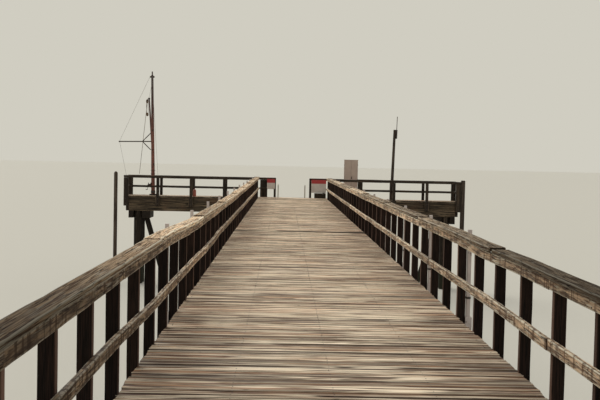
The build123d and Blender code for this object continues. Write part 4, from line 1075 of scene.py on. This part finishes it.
def outline_of(part):
    """The foot, direction, levels and radii of a long round solid."""
    middle = (part.max(0) + part.min(0)) / 2
    spread = np.linalg.svd(part - part.mean(0), full_matrices=False)[2][0]
    direction = spread * np.sign(spread[2])
    along = (part - middle) @ direction
    off_axis = np.linalg.norm((part - middle) - np.outer(along, direction), axis=1)
    levels = np.unique(np.round(along, 3))
    radii = np.array([off_axis[np.abs(along - level) < same_level].max() for level in levels])
    return middle + direction * levels[0], direction, levels - levels[0], radii


def dress_poles(name, seed, finish, slot, node_name, straight=False):
    """Worn poles over the outline of each solid of a node, sawn off where the solid ends."""
    stack = Stack(seed)
    for part in solids(node_name):
        foot, direction, levels, radii = outline_of(part)
        if straight:
            radii = np.full(len(radii), np.median(radii))
        length = levels[-1]
        points, faces, arris, _ = cut_pole(stack.rng, length, 1.0, (levels[1:-1],))
        points[:, 1:] *= np.interp(points[:, 0], levels, radii)[:, None]
        across = np.cross(direction, axes["y"])
        stack.lay((points, faces, arris, points.copy()), foot, direction, across / np.linalg.norm(across))
        placed = stack.points[-1]
        placed[:, 2] = np.clip(placed[:, 2], part[:, 2].min(), part[:, 2].max())
    stack.build(name, finish, slot, node_name)


dress_poles("raking_piles", 350, finishes["pile_timber"], "pile_timber", "batter_piles", straight=True)
dress_poles("guard_poles", 351, finishes["pole_timber"], "pile_timber", "guard_piles")
dress_poles("lamp_pole", 352, finishes["pole_timber"], "pole_timber", "light_pole")
dress_boxes("chest_boards", 353, tarred, "dark_timber", "chest", along="x",
            look={"pace": 0.12, "ease": 0.003})
dress_boxes("mast_step_block", 354, finishes["pole_timber"], "dark_timber", "mast_step",
            look={"pace": 0.1, "ease": 0.006})

# %% [markdown]
# ## Fittings that keep their frame shape
#
# The locker, the steel uprights, the mast and boom with their ironwork, the blocks and wires, the hoops,
# the bottle and the two boards are already drawn true in the frame, so they only need their finish. Painted
# wood and steel share one function: an even coat with a slight mottle, faded patches, and a darker ground
# that shows where the coat is gone.

# %% Painted and iron finishes
paint_bump, paint_relief = 0.35, 0.002
mottle_contrast = (0.35, 0.65)
spot_share, spot_softness = 0.4, 0.03
run_spacing, run_length, run_strength = 0.05, 0.8, 0.45
bare_roughness = 0.2


def painted(name, coat, faded, ground, roughness=0.55, loss=0.25, grime=0.4, size=0.2, above=None):
    """A coat of paint with faded patches, bare spots and grime. Above a level it may turn another colour."""
    finish, tree, shader, bump = start_finish(name, roughness, paint_bump, paint_relief)
    spot = node(tree, "TexCoord").outputs["Object"]
    mottle = stretched_noise(tree, spot, (size, size, size), 5.0)
    colour = blend(tree, window(tree, mottle, *mottle_contrast), coat, faded)
    if above:
        level, softness, other = above
        height = node(tree, "SeparateXYZ", {0: spot}).outputs[2]
        colour = blend(tree, window(tree, height, level - softness, level + softness), colour, other)
    bare = mask_of(tree, "Blotches", spot, size=size * spot_share, share=loss, softness=spot_softness)
    runs = mask_of(tree, "Drips", spot, spacing=run_spacing, length=run_length, share=grime)
    colour = lay_over(tree, colour, runs, run_strength, ground)
    colour = blend(tree, bare, colour, ground)
    rough = maths(tree, "ADD", maths(tree, "MULTIPLY", bare, bare_roughness), roughness)
    tree.links.new(colour, shader.inputs["Base Color"])
    tree.links.new(rough, shader.inputs["Roughness"])
    tree.links.new(maths(tree, "SUBTRACT", mottle, bare), bump.inputs["Height"])
    return finish


def coat_nodes(finish, *nodes):
    """Give frame nodes that keep their shape this finish."""
    for name in nodes:
        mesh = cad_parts[name].data
        mesh.materials.clear()
        mesh.materials.append(finish)


print("a coat's relief is", paint_relief * 1000, "mm deep")

# %% Coats for the fittings
mast_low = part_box("mast")[0]
board_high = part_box("gangway_boards")[1]
mast_darkens, mast_fade = 3.2, 1.8
band_depth, band_edge = 0.18, 0.003
# Each row is a name, the coat, its faded patches, the bare ground, how it has weathered, and the nodes
fittings = (
    ("dull_steel", (182, 168, 160), (198, 186, 178), (120, 104, 94),
     {"roughness": 0.5, "loss": 0.12, "grime": 0.3, "size": 0.3}, ("rail_uprights",)),
    ("locker_grey", (178, 156, 142), (188, 168, 152), (126, 108, 98),
     {"roughness": 0.6, "loss": 0.05, "grime": 0.3, "size": 0.5}, ("locker",)),
    ("faded_red", (150, 74, 56), (166, 92, 72), (92, 52, 40),
     {"roughness": 0.5, "loss": 0.15}, ("fire_bottle",)),
    ("mast_red_brown", (112, 62, 48), (130, 78, 62), (64, 44, 36),
     {"roughness": 0.6, "loss": 0.3, "grime": 0.5, "size": 0.35,
      "above": (mast_low.z + mast_darkens, mast_fade, tint(58, 40, 34))}, ("mast", "boom")),
    ("dark_iron", (50, 44, 40), (66, 56, 50), (92, 56, 38),
     {"roughness": 0.6, "loss": 0.3, "grime": 0.3, "size": 0.12},
     ("mast_bands", "crosstree", "gooseneck", "boom_cap", "winch", "pole_lamp")),
    ("hoop_tube", (148, 146, 128), (160, 152, 138), (110, 96, 84),
     {"roughness": 0.45, "loss": 0.1}, ("gangway_hoops",)),
    ("stay_wire", (128, 124, 118), (150, 146, 138), (96, 82, 70),
     {"roughness": 0.45, "loss": 0.3}, ("mast_stays", "topping_lift")),
    ("block_and_rope", (82, 62, 46), (120, 98, 74), (48, 36, 28),
     {"roughness": 0.7, "loss": 0.2}, ("boom_tackle", "boom_fall")),
    ("pale_board", (206, 196, 186), (192, 182, 172), (150, 140, 128),
     {"roughness": 0.6, "loss": 0.1, "above": (board_high.z - band_depth, band_edge, tint(168, 52, 52))},
     ("gangway_boards",)),
)
coats = {}
for name, coat, faded, ground, weather, nodes in fittings:
    coats[name] = painted(name, tint(*coat), tint(*faded), tint(*ground), **weather)
    coat_nodes(coats[name], *nodes)
print(len(coats), "coats for fittings that keep the frame's shape")

# %% [markdown]
# ## Nails, bolts and straps
#
# Fastenings are small, but they say how a thing is held together: two nails where a board crosses a
# stringer, two where a rail crosses a post, and a bolt with a square washer where caps clasp a pile or a
# post of the head is fixed to its fascia. Each head is a short stack of rings, like a board's section but
# round, so the same stack gathers thousands of them into one mesh. Their places are worked out from the
# timbers that they hold.

# %% Heads of nails and bolts
iron = coats["dark_iron"]
domed_rings = ((0.0, 1.0), (0.5, 0.96), (1.0, 0.6))
flat_rings = ((0.0, 1.0), (1.0, 0.92))


def round_head(radius, height, sides=8, rings=flat_rings):
    """The head of a fastening, standing along x, from rings of rise and girth: points, faces and measures."""
    angle = np.linspace(0, 2 * math.pi, sides, endpoint=False) + math.pi / sides
    points = np.array([(height * rise, radius * girth * math.cos(turn), radius * girth * math.sin(turn))
                       for rise, girth in rings for turn in angle])
    return points, ring_faces(len(rings), sides), np.zeros(len(points)), points.copy()


print("a domed head has", len(domed_rings), "rings")

# %% Deck nails
nail_radius, nail_height, nail_sides = 0.0045, 0.007, 6
nail_sunk = 0.0005
nail_play = 0.004
nail_from_middle = 0.27  # as a share of the board's width
stringer_lines = sorted({round((low[0] + high[0]) / 2, 3) for name in ("outer_stringers", "inner_stringers")
                         for low, high in boxes(name)})
nails = Stack(400)
for middle, width, top in board_tops:
    for line in stringer_lines:
        for side in (-nail_from_middle, nail_from_middle):
            place = nails.rng.normal((line, middle + side * width), nail_play)
            nails.lay(round_head(nail_radius, nail_height, nail_sides),
                      (*place, top - nail_height - nail_sunk), axes["z"], axes["x"])
nails.build("deck_nails", iron, "fitting_iron")

# %% Rail nails
rail_nail_radius, rail_nail_height, rail_nail_sunk = 0.006, 0.005, 0.003
rail_nail_up, rail_nail_aside = 0.02, 0.018
rail_nails = Stack(401)
for hand, inward in (("left", 1), ("right", -1)):
    for line in ("face", "mid"):
        low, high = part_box(f"{hand}_{line}_rails")
        face = high.x if inward > 0 else low.x
        for post in post_lines:
            for side in (-1, 1):
                height = (low.z + high.z) / 2 + side * rail_nail_up + droop(f"{hand}_{line}", post)
                spot = (face - inward * rail_nail_sunk, post + side * rail_nail_aside, height)
                rail_nails.lay(round_head(rail_nail_radius, rail_nail_height, rings=domed_rings), spot,
                               axes["x"] * inward, axes["z"])
rail_nails.build("rail_nails", iron, "fitting_iron")

# %% Washers and bolts
pile_nut, post_nut = 0.016, 0.013
nut_height, nut_lift = 0.022, 0.006
washer_height, washer_sunk, washer_girth = 0.008, 0.004, 2.4
clasp_reach = 0.25
block_drop = 0.02
post_bolt_drops = (0.14, 0.36)
bolts = Stack(402)


def bolt(spot, outward, up, nut):
    """A square washer let into a face, with a six-sided nut on it."""
    spot = np.asarray(spot) - outward * washer_sunk
    bolts.lay(round_head(nut * washer_girth, washer_height, 4), spot, outward, up)
    bolts.lay(round_head(nut, nut_height, 6), spot + outward * nut_lift, outward, up)


for pile_node, cap_node, across in (("walkway_piles", "walkway_caps", 1), ("head_piles", "head_caps", 0)):
    for pile_low, pile_high in boxes(pile_node):
        centre = (pile_low + pile_high) / 2
        for low, high in boxes(cap_node):
            nearest = min(abs(low[across] - centre[across]), abs(high[across] - centre[across]))
            if low[1 - across] < centre[1 - across] < high[1 - across] and nearest < clasp_reach:
                outward = axes["xy"[across]] * (1 if low[across] > centre[across] else -1)
                spot = centre.copy()
                spot[2] = (low[2] + high[2]) / 2
                spot[across] = (high if outward[across] > 0 else low)[across]
                bolt(spot, outward, axes["z"], pile_nut)
for part in solids("head_rail_posts"):
    low, high = part.min(0), part.max(0)
    outward = axes["y"] * (-1 if low[1] < head_middle else 1)
    foot = part[part[:, 2] < deck_level - block_drop]
    face = foot[:, 1].min() if outward[1] < 0 else foot[:, 1].max()
    for drop in post_bolt_drops:
        bolt(((low[0] + high[0]) / 2, face, deck_level - drop), outward, axes["z"], post_nut)
bolts.build("bolts_and_washers", iron, "fitting_iron")

# %% Straps on the uprights
strap_height = 0.025
strap_rise = 0.2
strap_stands = 0.004
strap_look = {"ease": 0.001, "middles": 1, "pace": 0.02, "chip": 0.0, "cup": 0.0, "bow": 0.0, "skew": 0.0,
              "reach": 0.004}
straps = Stack(403)
for part in solids("rail_uprights"):
    shaft = part[part[:, 2] > part[:, 2].max() - level_slack]
    low, high = shaft.min(0), shaft.max(0)
    size = high - low + 2 * strap_stands
    origin = (*((low + high) / 2)[:2], deck_level + strap_rise)
    band = cut_board(straps.rng, strap_height, size[0], size[1], strap_look)
    straps.lay(band, origin, axes["z"], axes["y"])
straps.build("upright_straps", iron, "fitting_iron")

# %% [markdown]
# ## Doors on the locker and the chest's lid fittings
#
# The locker is a plain steel cupboard with two leaves. Sheet leaves stand a few millimetres proud of the
# box with a dark line between them, and their hinges are small upright barrels. They are laid in the same
# way as boards, only with crisp edges and no wear, and take the locker's own paint.

# %% Locker leaves
leaf_look = {"ease": 0.002, "middles": 1, "pace": 0.4, "chip": 0.0, "cup": 0.0, "bow": 0.0, "skew": 0.0}
leaf_inset, leaf_gap, leaf_depth = 0.02, 0.008, 0.012
barrel_radius, barrel_height, barrel_sides = 0.008, 0.08, 10
barrel_aside, barrel_stands = 0.004, 0.006
barrel_shares = (0.12, 0.5, 0.88)
locker_low, locker_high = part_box("locker")
leaves = Stack(410)
barrels = Stack(411)
middle = (locker_low.x + locker_high.x) / 2
leaf_height = locker_high.z - locker_low.z - 2 * leaf_inset
for side in (-1, 1):
    inner = middle + side * leaf_gap / 2
    outer = middle + side * ((locker_high.x - locker_low.x) / 2 - leaf_inset)
    origin = ((inner + outer) / 2, locker_low.y, locker_low.z + leaf_inset)
    leaves.lay(cut_board(leaves.rng, leaf_height, abs(outer - inner), leaf_depth, leaf_look), origin,
               axes["z"], axes["y"])
    for share in barrel_shares:
        foot = (outer + side * barrel_aside, locker_low.y - barrel_stands,
                origin[2] + leaf_height * share - barrel_height / 2)
        barrels.lay(round_head(barrel_radius, barrel_height, barrel_sides), foot, axes["z"], axes["x"])
leaves.build("locker_leaves", coats["locker_grey"], "locker_paint")

# %% Locker handle and chest hinges
handle_length, handle_width, handle_depth = 0.11, 0.03, 0.02
handle_aside, handle_stands, handle_rise = 0.03, 0.012, 0.92
flap_length, flap_height, flap_depth = 0.06, 0.05, 0.008
flap_drop = 0.03
flap_shares = (0.25, 0.75)
chest_low, chest_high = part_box("chest")
barrels.lay(cut_board(barrels.rng, handle_length, handle_width, handle_depth, dict(leaf_look, pace=0.05)),
            (middle + handle_aside, locker_low.y - handle_stands, locker_low.z + handle_rise),
            axes["z"], axes["y"])
for share in flap_shares:
    spot = (chest_low.x + (chest_high.x - chest_low.x) * share - flap_length / 2, chest_low.y,
            chest_high.z - flap_drop)
    barrels.lay(cut_board(barrels.rng, flap_length, flap_height, flap_depth, dict(leaf_look, pace=0.03)),
                spot, axes["x"], axes["y"])
barrels.build("locker_and_chest_fittings", iron, "fitting_iron")
